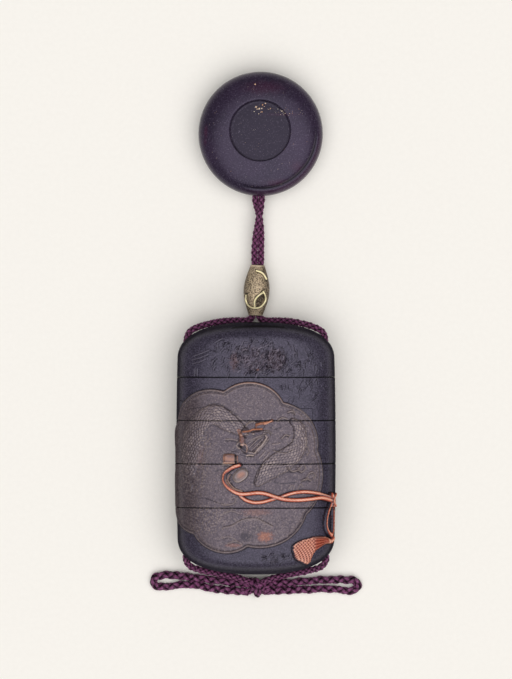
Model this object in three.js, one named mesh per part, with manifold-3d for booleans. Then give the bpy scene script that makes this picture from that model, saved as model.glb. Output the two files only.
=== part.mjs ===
// Inro: a five-section lacquered carrying case with its silk cord, slide bead and round toggle.
// Millimetres, +Z up. The case lies on its back: +Y runs along it to the lid and the toggle,
// +X to its right, and the origin is the middle of its back, on the surface it lies on.
import * as THREE from 'three';
import { mergeVertices } from 'three/addons/utils/BufferGeometryUtils.js';
import { ParametricGeometry } from 'three/addons/geometries/ParametricGeometry.js';
import Module from 'manifold-3d';

// ---- driving dimensions ----------------------------------------------------------------------

// Case: a flattened barrel with domed ends.
const HALF_LENGTH = 43;
const HALF_WIDTH = 27.2;
const SHOULDER_HALF_WIDTH = 26.8;  // where the straight sides turn into the domes
const HALF_DEPTH = 12;
const BACK_FLAT = 0.3;             // how deep the small flat on the back is cut
const AXIS_Z = HALF_DEPTH - BACK_FLAT;
const WIDTH_DOME_START = 30;
const DEPTH_DOME_START = 36;
const DOME_TIP = 43.05;            // the domes would meet here, just past the cut tips
const DOME_POWER = 2.4;
const SECTION_POWER = 2.5;         // the cross-section is a superellipse
const AROUND = 40;
const DOME_STEPS = 7;

// Sections: where each seam lies, and how each box plugs into the one above.
const SEAMS = [24.3, 9.6, -5.1, -20];
const SEAM_GAP = 0.25;
const RISER = { halfWidth: 21, halfDepth: 10.2, height: 5 };
const RISER_PLAY = 0.3;
const CAVITY = { halfWidth: 19.8, halfDepth: 9.2 };
const FLOOR = 1.6;
const CAVITY_TIP = 40.6;           // the hollow of the two end sections is domed too
const CAVITY_AROUND = 28;
const CAVITY_DOME_STEPS = 4;

// Cord channels inside the narrow sides.
const CHANNEL_X = 23.6;
const CHANNEL_RADIUS = 1.5;

// Raised work on the front.
const MEDALLION = { x: -5.6, y: -6.4, notchRadius: 27.1, crestRadius: 29.7, turnDeg: 11, lobes: 8 };
const MEDALLION_RAISE = 0.4;
const DRAGON_RAISE = 0.75;
const RED_CORD_RAISE = 0.9;
const TASSEL_RAISE = 0.65;
const BAND_STEPS = 2;              // straight pieces in each span of a raised band
const LOBE_STEPS = 4;
const KNOB = { x: -6.8, y: -6.2, radius: 4.3, raise: 1.3 };

// Toggle, bead and cord.
const TOGGLE = { x: 1.6, y: 107.5, radius: 21.3, height: 15, equator: 6.5, baseRadius: 9 };
const TOGGLE_RING = { radius: 10.4, width: 0.7, depth: 0.35, dish: 0.5 };
const SOCKET = { x: 0.85, z: 4.4, width: 5.2, height: 3, depth: 10.5 };
const BEAD = { x: 0.2, y0: 45.3, y1: 62.6, radius: 4.45, endRadius: 2.65, bore: 2.4, swell: 1.1 };
const BEAD_LEAN_DEG = 2.5;
const CORD_DIAMETER = 2;
const LOOP_DIAMETER = 2.3;         // the slack cord of the bow spreads a little
const CORD_SIDES = 8;
const CORD_STEP = 3.2 * CORD_DIAMETER;
const KNOT = { x: 0, y: -48, width: 5, length: 6, height: 4.9 };

// Cord routes, [x, y, z]. The two lengths start in the toggle's socket, cross once, run through the
// bead, part over the lid, go down the side channels and round the bottom to the knot.
const LEFT_TOP = [
  [1.95, 96.3, 4.4], [1.95, 88, 4.4], [1.85, 84.2, 5.1], [1.15, 79.5, 5.9], [0.15, 74, 5.3],
  [-0.4, 69, 4.4], [-0.5, 63, 4.4], [-1.24, 46, 4.4],
];
const RIGHT_TOP = [
  [-0.25, 96.3, 4.4], [-0.25, 88, 4.4], [-0.1, 84.2, 3.7], [1.1, 79.5, 2.9], [1.75, 74, 3.5],
  [1.75, 69, 4.4], [1.64, 63, 4.4], [0.88, 46, 4.4],
];
const LEFT_ROUND_CASE = [
  [-1.4, 44.5, 4.5], [-3.3, 43.65, 5], [-6.4, 43.6, 6.7], [-11, 43.4, 9], [-16, 42.5, 10.9],
  [-20.4, 41.1, 11.7], [-22.9, 39.4, 11.7], [-23.6, 37, 11.7], [-23.6, 34, 11.7],
  [-23.6, -34.6, 11.7], [-23.9, -37.9, 11.7], [-22.6, -40.2, 10.5], [-18.5, -41.9, 7.6],
  [-11.6, -43.4, 5.2], [-6, -44.7, 3.9], [-2.85, -45.8, 3.6],
];
const LEFT_LOOP = [
  [-2.85, -47, 1.4], [-8, -46.4, 1.2], [-14, -45.6, 1.2], [-22, -44.6, 1.2], [-31, -43.9, 1.2],
  [-34.2, -44.5, 1.2], [-35.2, -46, 1.2], [-34.2, -47.6, 1.2], [-31, -47.9, 1.2],
  [-26, -47.3, 1.2], [-21, -47.3, 1.2], [-15, -48.4, 1.2], [-2.85, -49.6, 1.4],
];
const RIGHT_LOOP = [
  [2.85, -46.8, 1.4], [8, -46.6, 1.2], [14, -46.3, 1.2], [22, -45.6, 1.2], [31, -45.4, 1.2],
  [34.2, -45.9, 1.2], [35.2, -47.3, 1.2], [34.2, -48.8, 1.2], [31, -49.2, 1.2],
  [26, -48.5, 1.2], [14, -49, 1.2], [2.85, -49.4, 1.4],
];

const rad = THREE.MathUtils.degToRad;
const wasm = await Module();
wasm.setup();

// ---- solids ----------------------------------------------------------------------------------

// A closed three.js geometry as a solid, with shared corners merged and its faces turned outward.
function solid(geometry) {
  const bare = geometry.clone();
  for (const name of ['normal', 'uv']) bare.deleteAttribute(name);
  const merged = mergeVertices(bare);
  const corners = merged.attributes.position.array;
  const index = merged.index.array;
  const triangles = [];
  let volume = 0;
  const a = new THREE.Vector3();
  const b = new THREE.Vector3();
  const c = new THREE.Vector3();
  for (let i = 0; i < index.length; i += 3) {
    const [p, q, r] = [index[i], index[i + 1], index[i + 2]];
    if (p === q || q === r || r === p) continue;
    triangles.push(p, q, r);
    a.fromArray(corners, 3 * p);
    volume += a.dot(b.fromArray(corners, 3 * q).cross(c.fromArray(corners, 3 * r)));
  }
  if (volume < 0) triangles.reverse();
  return new wasm.Manifold(new wasm.Mesh({
    numProp: 3,
    vertProperties: new Float32Array(corners),
    triVerts: new Uint32Array(triangles),
  }));
}

// A solid as a three.js geometry.
function geometryOf(body) {
  const mesh = body.getMesh();
  const geometry = new THREE.BufferGeometry();
  geometry.setAttribute('position', new THREE.BufferAttribute(mesh.vertProperties, 3));
  geometry.setIndex(new THREE.BufferAttribute(mesh.triVerts, 1));
  geometry.computeVertexNormals();
  return geometry;
}

function box(low, high) {
  const size = high.map((value, i) => value - low[i]);
  const geometry = new THREE.BoxGeometry(...size);
  geometry.translate(...low.map((value, i) => value + size[i] / 2));
  return solid(geometry);
}

// A cylinder along Y.
function rod(x, z, radius, y0, y1, sides) {
  const geometry = new THREE.CylinderGeometry(radius, radius, y1 - y0, sides);
  geometry.translate(x, (y0 + y1) / 2, z);
  return solid(geometry);
}

const rounded = (value, power) => Math.sign(value) * Math.abs(value) ** (2 / power);

// A solid along Y whose cross-sections are superellipses about the case's axis.
// Each station is { y, halfWidth, halfDepth }.
function loft(stations, around) {
  const last = stations.length - 1;
  const surface = (u, v, target) => {
    const row = Math.round(v * (last + 2)) - 1;
    const station = stations[THREE.MathUtils.clamp(row, 0, last)];
    const onAxis = row < 0 || row > last;
    const angle = 2 * Math.PI * (Math.round(u * around) % around) / around;
    const reachX = onAxis ? 0 : station.halfWidth * rounded(Math.cos(angle), SECTION_POWER);
    const reachZ = onAxis ? 0 : station.halfDepth * rounded(Math.sin(angle), SECTION_POWER);
    target.set(reachX, station.y, AXIS_Z + reachZ);
  };
  return solid(new ParametricGeometry(surface, around, last + 2));
}

// ---- the case's form -------------------------------------------------------------------------

// How a dome shrinks from its start to its tip, from 1 to 0.
function domed(y, start, tip) {
  const along = THREE.MathUtils.clamp((Math.abs(y) - start) / (tip - start), 0, 1);
  return (1 - along ** DOME_POWER) ** (1 / DOME_POWER);
}

function halfWidth(y) {
  const barrel = Math.min(Math.abs(y) / WIDTH_DOME_START, 1) ** 2;
  const side = HALF_WIDTH - (HALF_WIDTH - SHOULDER_HALF_WIDTH) * barrel;
  return side * domed(y, WIDTH_DOME_START, DOME_TIP);
}

const halfDepth = (y) => HALF_DEPTH * domed(y, DEPTH_DOME_START, DOME_TIP);

// Where the rings of a dome lie, closer together towards its tip.
function domeRings(start, end, tip, steps) {
  const last = Math.asin(((end - start) / (tip - start)) ** (DOME_POWER / 2));
  const place = (i) => start + (tip - start) * Math.sin(last * i / steps) ** (2 / DOME_POWER);
  return Array.from({ length: steps }, (_, i) => place(i + 1));
}

function caseBody() {
  const dome = domeRings(WIDTH_DOME_START, HALF_LENGTH, DOME_TIP, DOME_STEPS);
  const upper = [12, 24, WIDTH_DOME_START, ...dome];
  const rings = [...upper.map((y) => -y).reverse(), 0, ...upper];
  const stations = rings.map((y) => ({ y, halfWidth: halfWidth(y), halfDepth: halfDepth(y) }));
  return loft(stations, AROUND);
}

// ---- raised work -----------------------------------------------------------------------------

// The lobed medallion's outline, as one arc for each lobe.
function medallionOutline() {
  const half = Math.PI / MEDALLION.lobes;
  const chord = MEDALLION.notchRadius * Math.sin(half);
  const rise = MEDALLION.crestRadius - MEDALLION.notchRadius * Math.cos(half);
  const lobeRadius = (chord ** 2 + rise ** 2) / (2 * rise);
  const lobeCentre = MEDALLION.crestRadius - lobeRadius;
  const sweep = Math.asin(chord / lobeRadius);
  const shape = new THREE.Shape();
  for (let i = 0; i < MEDALLION.lobes; i += 1) {
    const angle = rad(MEDALLION.turnDeg) + (2 * i + 1) * half;
    shape.absarc(
      MEDALLION.x + lobeCentre * Math.cos(angle),
      MEDALLION.y + lobeCentre * Math.sin(angle),
      lobeRadius, angle - sweep, angle + sweep,
    );
  }
  return shape;
}

// A band along a line of [x, y, width] points.
function band(points) {
  const line = new THREE.SplineCurve(points.map(([x, y]) => new THREE.Vector2(x, y)));
  const steps = BAND_STEPS * (points.length - 1);
  const left = [];
  const right = [];
  for (let i = 0; i <= steps; i += 1) {
    const t = i / steps;
    const span = Math.min(Math.floor(t * (points.length - 1)), points.length - 2);
    const within = t * (points.length - 1) - span;
    const width = THREE.MathUtils.lerp(points[span][2], points[span + 1][2], within);
    const middle = line.getPoint(t);
    const along = line.getTangent(t);
    const side = new THREE.Vector2(-along.y, along.x).multiplyScalar(width / 2);
    left.push(middle.clone().add(side));
    right.unshift(middle.clone().sub(side));
  }
  return new THREE.Shape([...left, ...right]);
}

function ellipse(x, y, radiusX, radiusY, turnDeg) {
  const shape = new THREE.Shape();
  shape.absellipse(x, y, radiusX, radiusY, 0, 2 * Math.PI, false, rad(turnDeg));
  return shape;
}

// What stands proud of the case inside an outline: the case's own front, lifted by raise.
function raised(body, shape, raise, curveSegments) {
  const geometry = new THREE.ExtrudeGeometry(shape, {
    depth: HALF_DEPTH + 3, bevelEnabled: false, curveSegments,
  });
  geometry.translate(0, 0, AXIS_Z);
  return solid(geometry).intersect(body.translate(0, 0, raise));
}

const DRAGON_NECK = [
  [-5, 4.6, 3.6], [-10.2, 10.8, 4], [-15.4, 13.2, 4.6], [-19.6, 9, 4.8], [-22.6, 1, 5],
  [-23, -9, 3],
];
const DRAGON_COIL = [[8, 12.4, 3], [15, 6.4, 5], [13, -3.8, 6.2], [2, -7.4, 5]];
const RED_STRANDS = [
  [
    [-8, -8.2, 1.5], [-10.4, -11.6, 1.5], [-5, -14.8, 1.5], [2, -15, 1.5], [9, -17, 1.5],
    [25.4, -18, 1.5],
  ],
  [[-7.6, -9.6, 1.5], [-5.4, -15.4, 1.5], [-0.6, -18.4, 1.5], [12, -14.8, 1.5], [25.6, -16, 1.5]],
];
const TASSEL_OUTLINE = [
  [24.4, -31.6], [20, -29.8], [13.4, -32.2], [12, -33.8], [13.6, -38], [16, -39.2],
  [18.2, -38.6], [20.2, -35.8], [25, -32.6],
];

function knob(body) {
  const dome = new THREE.SphereGeometry(KNOB.radius, 12, 8);
  dome.scale(1, 1, 0.5);
  dome.translate(KNOB.x, KNOB.y, 2 * AXIS_Z + KNOB.raise - KNOB.radius / 2);
  return solid(dome).subtract(body.translate(0, 0, -2));
}

function frontWork(body) {
  const pieces = [
    raised(body, medallionOutline(), MEDALLION_RAISE, LOBE_STEPS),
    raised(body, band(DRAGON_NECK), DRAGON_RAISE),
    raised(body, band(DRAGON_COIL), DRAGON_RAISE),
    raised(body, ellipse(0.6, 5.6, 6, 4, 35), DRAGON_RAISE, 5),
    raised(body, new THREE.Shape(TASSEL_OUTLINE.map((p) => new THREE.Vector2(...p))), TASSEL_RAISE),
    knob(body),
  ];
  for (const strand of RED_STRANDS) {
    pieces.push(raised(body, band(strand), RED_CORD_RAISE));
  }
  return pieces;
}

// ---- the sections ----------------------------------------------------------------------------

// A straight hollow or tube of the given half sizes, from y0 to y1.
function straight(size, y0, y1) {
  return loft([{ ...size, y: y0 }, { ...size, y: y1 }], CAVITY_AROUND);
}

// The hollow of an end section, from its open side at y0 to its domed end.
function domedHollow(y0, end) {
  const start = Math.abs(y0) < WIDTH_DOME_START ? WIDTH_DOME_START : Math.abs(y0);
  const rings = domeRings(start, CAVITY_TIP - 0.1, CAVITY_TIP, CAVITY_DOME_STEPS);
  const stations = [Math.abs(y0), start, ...rings].map((distance) => ({
    y: distance * end,
    halfWidth: CAVITY.halfWidth * domed(distance, start, CAVITY_TIP),
    halfDepth: CAVITY.halfDepth * domed(distance, start + 2, CAVITY_TIP),
  }));
  return loft(stations, CAVITY_AROUND);
}

function section(carved, bottom, top) {
  const isLid = top === HALF_LENGTH;
  const isBase = bottom === -HALF_LENGTH;
  const y0 = isBase ? -HALF_LENGTH - 1 : bottom + SEAM_GAP / 2;
  const y1 = isLid ? HALF_LENGTH + 1 : top - SEAM_GAP / 2;
  let piece = carved.intersect(box([-50, y0, 0], [50, y1, 50]));
  const mouth = {
    halfWidth: RISER.halfWidth + RISER_PLAY,
    halfDepth: RISER.halfDepth + RISER_PLAY,
  };
  const mouthEnd = bottom + RISER.height + RISER_PLAY;
  const rimEnd = top + RISER.height;
  if (!isBase) piece = piece.subtract(straight(mouth, y0 - 1, mouthEnd));
  if (!isLid) piece = piece.add(straight(RISER, y1 - 1, rimEnd));
  if (isLid) {
    piece = piece.subtract(domedHollow(mouthEnd - 0.5, 1));
  } else if (isBase) {
    piece = piece.subtract(straight(CAVITY, -WIDTH_DOME_START, rimEnd + 1));
    piece = piece.subtract(domedHollow(-WIDTH_DOME_START + 0.5, -1));
  } else {
    piece = piece.subtract(straight(CAVITY, mouthEnd + FLOOR, rimEnd + 1));
  }
  for (const x of [-CHANNEL_X, CHANNEL_X]) {
    piece = piece.subtract(rod(x, AXIS_Z, CHANNEL_RADIUS, -HALF_LENGTH, HALF_LENGTH, 12));
  }
  return piece;
}

// ---- toggle and bead -------------------------------------------------------------------------

// A round bun, flat underneath, with a shallow dish inside an incised circle on top.
function toggle() {
  const { radius, height, equator, baseRadius } = TOGGLE;
  const profile = [new THREE.Vector2(0, 0), new THREE.Vector2(baseRadius, 0)];
  for (let i = 1; i <= 4; i += 1) {
    const angle = i * Math.PI / 8;
    profile.push(new THREE.Vector2(
      baseRadius + (radius - baseRadius) * Math.sin(angle),
      equator * (1 - Math.cos(angle)),
    ));
  }
  const crown = (r) => equator + (height - equator) * (1 - (r / radius) ** 2.4) ** (1 / 2.4);
  for (const part of [0.98, 0.9, 0.75]) {
    profile.push(new THREE.Vector2(radius * part, crown(radius * part)));
  }
  const ring = TOGGLE_RING;
  const outer = ring.radius + ring.width / 2;
  const inner = ring.radius - ring.width / 2;
  profile.push(new THREE.Vector2(outer, crown(outer)));
  profile.push(new THREE.Vector2(ring.radius, crown(outer) - ring.depth));
  profile.push(new THREE.Vector2(inner, crown(outer) - 0.1));
  profile.push(new THREE.Vector2(0, crown(outer) - ring.dish));
  const bun = new THREE.LatheGeometry(profile, 32);
  bun.rotateX(Math.PI / 2);
  bun.translate(TOGGLE.x, TOGGLE.y, 0);
  const mouth = TOGGLE.y - radius;
  return solid(bun).subtract(box(
    [SOCKET.x - SOCKET.width / 2, mouth - 1, SOCKET.z - SOCKET.height / 2],
    [SOCKET.x + SOCKET.width / 2, mouth + SOCKET.depth, SOCKET.z + SOCKET.height / 2],
  ));
}

// An olive-shaped bead with a bore along it, lying along Y.
function bead() {
  const steps = 7;
  const length = BEAD.y1 - BEAD.y0;
  const profile = [new THREE.Vector2(BEAD.bore, BEAD.y0)];
  for (let i = 0; i <= steps; i += 1) {
    const swell = Math.sin(Math.PI * i / steps) ** BEAD.swell;
    profile.push(new THREE.Vector2(
      BEAD.endRadius + (BEAD.radius - BEAD.endRadius) * swell,
      BEAD.y0 + length * i / steps,
    ));
  }
  profile.push(new THREE.Vector2(BEAD.bore, BEAD.y1), profile[0].clone());
  const middle = (BEAD.y0 + BEAD.y1) / 2;
  const olive = new THREE.LatheGeometry(profile, 18);
  olive.translate(0, -middle, 0);
  olive.rotateZ(-rad(BEAD_LEAN_DEG));
  olive.translate(BEAD.x, middle, BEAD.radius);
  return solid(olive);
}

// ---- cord ------------------------------------------------------------------------------------

// A smooth curve through a route, with rings close together in bends and none to spare in the
// straight stretches.
class Route extends THREE.Curve {
  constructor(points) {
    super();
    const stops = points.map((point) => new THREE.Vector3(...point));
    const smooth = new THREE.CatmullRomCurve3(stops, false, 'centripetal');
    const spans = stops.length - 1;
    this.places = [smooth.getPoint(0)];
    for (let i = 0; i < spans; i += 1) {
      const length = stops[i].distanceTo(stops[i + 1]);
      const pieces = length > 60 ? 2 : Math.max(1, Math.round(length / CORD_STEP));
      for (let k = 1; k <= pieces; k += 1) {
        this.places.push(smooth.getPoint((i + k / pieces) / spans));
      }
    }
    this.steps = this.places.length - 1;
  }

  getPoint(t, target = new THREE.Vector3()) {
    return target.copy(this.places[Math.round(t * this.steps)]);
  }

  getTangent(t, target = new THREE.Vector3()) {
    const i = Math.round(t * this.steps);
    const before = this.places[Math.max(i - 1, 0)];
    const after = this.places[Math.min(i + 1, this.steps)];
    return target.subVectors(after, before).normalize();
  }

  getPointAt(u, target) {
    return this.getPoint(u, target);
  }

  getTangentAt(u, target) {
    return this.getTangent(u, target);
  }
}

function cord(points, diameter = CORD_DIAMETER) {
  const section = new THREE.Shape();
  for (let i = 0; i < CORD_SIDES; i += 1) {
    const angle = 2 * Math.PI * (i + 0.5) / CORD_SIDES;
    const x = diameter / 2 * Math.cos(angle);
    const y = diameter / 2 * Math.sin(angle);
    if (i === 0) section.moveTo(x, y);
    else section.lineTo(x, y);
  }
  section.closePath();
  const route = new Route(points);
  return solid(new THREE.ExtrudeGeometry(section, { extrudePath: route, steps: route.steps }));
}

function knot() {
  const { x, y, width, length, height } = KNOT;
  const lump = new THREE.SphereGeometry(0.5, 12, 8);
  const place = lump.attributes.position;
  for (let i = 0; i < place.count; i += 1) {
    const square = ['getX', 'getY', 'getZ'].map((get) => rounded(2 * place[get](i), 3) / 2);
    place.setXYZ(i, ...square);
  }
  lump.scale(width, length, height);
  lump.translate(x, y, height / 2);
  return solid(lump);
}

const mirrored = (points) => points.map(([x, y, z]) => [-x, y, z]);

// ---- the whole -------------------------------------------------------------------------------

const LACQUER = { color: 0x3a3540, roughness: 0.35, metalness: 0 };
const MATERIALS = {
  lacquer: new THREE.MeshStandardMaterial(LACQUER),
  toggle_lacquer: new THREE.MeshStandardMaterial({ ...LACQUER, color: 0x3b3643 }),
  bead_metal: new THREE.MeshStandardMaterial({ color: 0x998874, roughness: 0.5, metalness: 0.8 }),
  silk: new THREE.MeshStandardMaterial({ color: 0x5e3f53, roughness: 0.9, metalness: 0 }),
};

const group = new THREE.Group();
function place(name, body, material) {
  const mesh = new THREE.Mesh(geometryOf(body), MATERIALS[material]);
  mesh.name = name;
  group.add(mesh);
}

const body = caseBody();
const carved = frontWork(body).reduce((sum, piece) => sum.add(piece), body);
const ends = [HALF_LENGTH, ...SEAMS, -HALF_LENGTH];
for (let i = 0; i + 1 < ends.length; i += 1) {
  const name = i === 0 ? 'lid' : `case_${i}`;
  place(name, section(carved, ends[i + 1], ends[i]), 'lacquer');
}
place('netsuke', toggle(), 'toggle_lacquer');
place('ojime', bead(), 'bead_metal');
place('cord_left', cord([...LEFT_TOP, ...LEFT_ROUND_CASE]), 'silk');
place('cord_right', cord([...RIGHT_TOP, ...mirrored(LEFT_ROUND_CASE)]), 'silk');
place('bow_knot', knot(), 'silk');
place('bow_loop_left', cord(LEFT_LOOP, LOOP_DIAMETER), 'silk');
place('bow_loop_right', cord(RIGHT_LOOP, LOOP_DIAMETER), 'silk');

export default group;
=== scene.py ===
"""Inro: a flat five-section lacquered case with a raised medallion, its braided silk cord, slide bead
and round toggle, lying on a pale table."""

import math

import bmesh
import bpy
import numpy as np
from bpy.props import FloatProperty, FloatVectorProperty, IntProperty, PointerProperty
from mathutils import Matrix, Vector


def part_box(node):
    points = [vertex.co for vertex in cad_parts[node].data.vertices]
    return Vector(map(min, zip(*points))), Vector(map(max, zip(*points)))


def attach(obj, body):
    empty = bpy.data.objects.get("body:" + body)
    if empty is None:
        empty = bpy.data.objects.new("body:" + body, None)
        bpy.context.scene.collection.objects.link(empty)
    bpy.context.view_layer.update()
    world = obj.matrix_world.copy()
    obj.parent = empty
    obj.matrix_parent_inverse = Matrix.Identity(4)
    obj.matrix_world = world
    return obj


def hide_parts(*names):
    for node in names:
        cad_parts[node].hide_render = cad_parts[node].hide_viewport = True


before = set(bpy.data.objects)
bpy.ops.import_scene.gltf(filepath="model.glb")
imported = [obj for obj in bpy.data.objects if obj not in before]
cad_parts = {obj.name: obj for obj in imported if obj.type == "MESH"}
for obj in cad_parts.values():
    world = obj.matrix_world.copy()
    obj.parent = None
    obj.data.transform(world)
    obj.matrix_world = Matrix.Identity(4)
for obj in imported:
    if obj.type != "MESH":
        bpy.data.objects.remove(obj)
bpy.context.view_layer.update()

bl_info = {
    "name": "Inro Case",
    "version": (1, 0, 0),
    "blender": (4, 5, 0),
    "location": "View3D > Sidebar > Inro",
    "description": "Models a lacquered inro with its cord, bead and toggle around its fixed frame",
    "category": "Object",
}

MM = 0.001


def linear(code):
    """A linear colour from an sRGB hex code."""
    parts = [int(code[i:i + 2], 16) / 255 for i in (0, 2, 4)]
    return tuple(c / 12.92 if c <= 0.04045 else ((c + 0.055) / 1.055) ** 2.4 for c in parts)


# ---- the case's form, in millimetres ----------------------------------------------------------

HALF_WIDTH = 27.2
SHOULDER_HALF_WIDTH = 26.8   # where the straight sides turn into the domes
HALF_DEPTH = 12.0
AXIS_Z = 11.7                # the back is flattened by the difference
WIDTH_DOME_START = 30.0
DEPTH_DOME_START = 36.0
DOME_TIP = 43.05
DOME_POWER = 2.4
SECTION_POWER = 2.5

SEAM_GAP = 0.25
SHOWN_GAP = 0.1              # the eye sees a hairline between sections, and nothing through it
MOUTH = (21.3, 10.5)         # half width and half depth of the recess under each section
RISER = (21.0, 10.2)
CAVITY = (19.8, 9.2)
RISER_HEIGHT = 5.0
MOUTH_DEPTH = 5.3
FLOOR = 1.6
CAVITY_TIP = 40.6
CHANNEL_X = 23.6
CHANNEL_RADIUS = 1.5

TABLE_STEPS = 6000
NOISE_CELLS = 64
FRONT_REACH = 36.5           # how far round the sides the fine grid goes
STROKE_MARGIN = 0.4
COVER_EDGE = 0.3             # above this much cover, what lies on top sets the height
BACK_STEP = 1.2
EDGE_ROUND = 0.3
EDGE_DROP = 0.14


def rounded(value):
    """A cosine or sine bent to the section's superellipse."""
    return np.sign(value) * np.abs(value) ** (2 / SECTION_POWER)


def domed(y, start, tip):
    """How a dome shrinks from its start to its tip, from 1 to 0."""
    along = np.clip((np.abs(y) - start) / (tip - start), 0, 1)
    return (1 - along ** DOME_POWER) ** (1 / DOME_POWER)


def half_width(y):
    """Half the case's width along it."""
    barrel = np.minimum(np.abs(y) / WIDTH_DOME_START, 1) ** 2
    side = HALF_WIDTH - (HALF_WIDTH - SHOULDER_HALF_WIDTH) * barrel
    return side * domed(y, WIDTH_DOME_START, DOME_TIP)


def half_depth(y):
    """Half the case's depth along it."""
    return HALF_DEPTH * domed(y, DEPTH_DOME_START, DOME_TIP)


# The section's outline, as the distance round it from the middle of the front and the turn there.
TURNS = np.linspace(-math.pi, math.pi, TABLE_STEPS + 1)
OUTLINE_X = HALF_WIDTH * rounded(np.sin(TURNS))
OUTLINE_Z = HALF_DEPTH * rounded(np.cos(TURNS))
AROUND = np.concatenate([[0], np.cumsum(np.hypot(np.diff(OUTLINE_X), np.diff(OUTLINE_Z)))])
AROUND -= AROUND[TABLE_STEPS // 2]
FRONT = slice(TABLE_STEPS // 4, TABLE_STEPS * 3 // 4 + 1)


def unrolled(x, y):
    """The distance round the section at which a point seen from the front lies."""
    stretched = np.asarray(x) * HALF_WIDTH / half_width(np.asarray(y))
    at_full_width = np.clip(stretched, -HALF_WIDTH, HALF_WIDTH)
    return np.interp(at_full_width, OUTLINE_X[FRONT], AROUND[FRONT])


def section_ring(y, turns, width, depth):
    """A ring of points about the case's axis."""
    x = width * rounded(np.sin(turns))
    z = AXIS_Z + depth * rounded(np.cos(turns))
    return np.stack([x, np.full_like(x, y), z], axis=-1)


# ---- lines and patterns for the raised work ----------------------------------------------------


def smooth_line(points, step=0.35):
    """A smooth line through points, each of two or more numbers, as rows close together."""
    stops = np.array(points, float)
    ends = np.concatenate([[2 * stops[0] - stops[1]], stops, [2 * stops[-1] - stops[-2]]])
    rows = []
    for before, start, end, after in zip(ends[:-3], ends[1:-2], ends[2:-1], ends[3:]):
        count = max(2, int(np.linalg.norm((end - start)[:2]) / step))
        t = (np.arange(count) / count)[:, None]
        rows.append(0.5 * (
            2 * start + (end - before) * t
            + (2 * before - 5 * start + 4 * end - after) * t ** 2
            + (3 * start - before - 3 * end + after) * t ** 3
        ))
    return np.concatenate(rows + [stops[-1:]])


def on_front(points):
    """Points seen from the front, moved to where they lie on the unrolled surface."""
    rows = np.array(points, float)
    rows[:, 0] = unrolled(rows[:, 0], rows[:, 1])
    return rows


def smoothstep(low, high, value):
    """From 0 at low to 1 at high, eased at both ends; low may be the greater."""
    t = np.clip((value - low) / (high - low), 0, 1)
    return t * t * (3 - 2 * t)


def band(value, middle, width):
    """A soft band: 1 at the middle, and next to nothing two widths away."""
    return np.exp(-((value - middle) / width) ** 2)


def dome(distance, radius):
    """The height of a round bar of height 1, from its middle to its radius."""
    return np.sqrt(np.maximum(1 - (distance / radius) ** 2, 0))


def cell_noise(s, y, size, seed):
    """For each place, the distance to the nearest of a field of scattered dots, in cells, and a
    number from 0 to 1 that belongs to that dot."""
    table = np.random.default_rng(seed).random((NOISE_CELLS, NOISE_CELLS, 3))
    u, v = s / size, y / size
    i, j = np.floor(u).astype(int), np.floor(v).astype(int)
    best = np.full(s.shape, 9.0)
    value = np.zeros(s.shape)
    for di in (-1, 0, 1):
        for dj in (-1, 0, 1):
            dot = table[(i + di) % NOISE_CELLS, (j + dj) % NOISE_CELLS]
            distance = np.hypot(i + di + dot[..., 0] - u, j + dj + dot[..., 1] - v)
            closer = distance < best
            best = np.where(closer, distance, best)
            value = np.where(closer, dot[..., 2], value)
    return best, value


def scale_bumps(along, side, pitch):
    """Overlapping round scales, from 0 in the gaps to 1 on each scale's crown."""
    u = along / pitch + 0.16 * np.sin(1.9 * side + 0.7 * along)
    v = side / (0.95 * pitch) + 0.14 * np.sin(1.3 * along + 2.3 * side)
    best = np.zeros(u.shape)
    for back in (0, 1):
        row = np.floor(u) - back
        across = v - 0.5 * (row % 2)
        across -= np.round(across)
        crown = 1 - (across / 0.5) ** 2 - ((u - row - 0.55) / 0.78) ** 2
        best = np.maximum(best, np.sqrt(np.maximum(crown, 0)))
    return best


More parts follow.
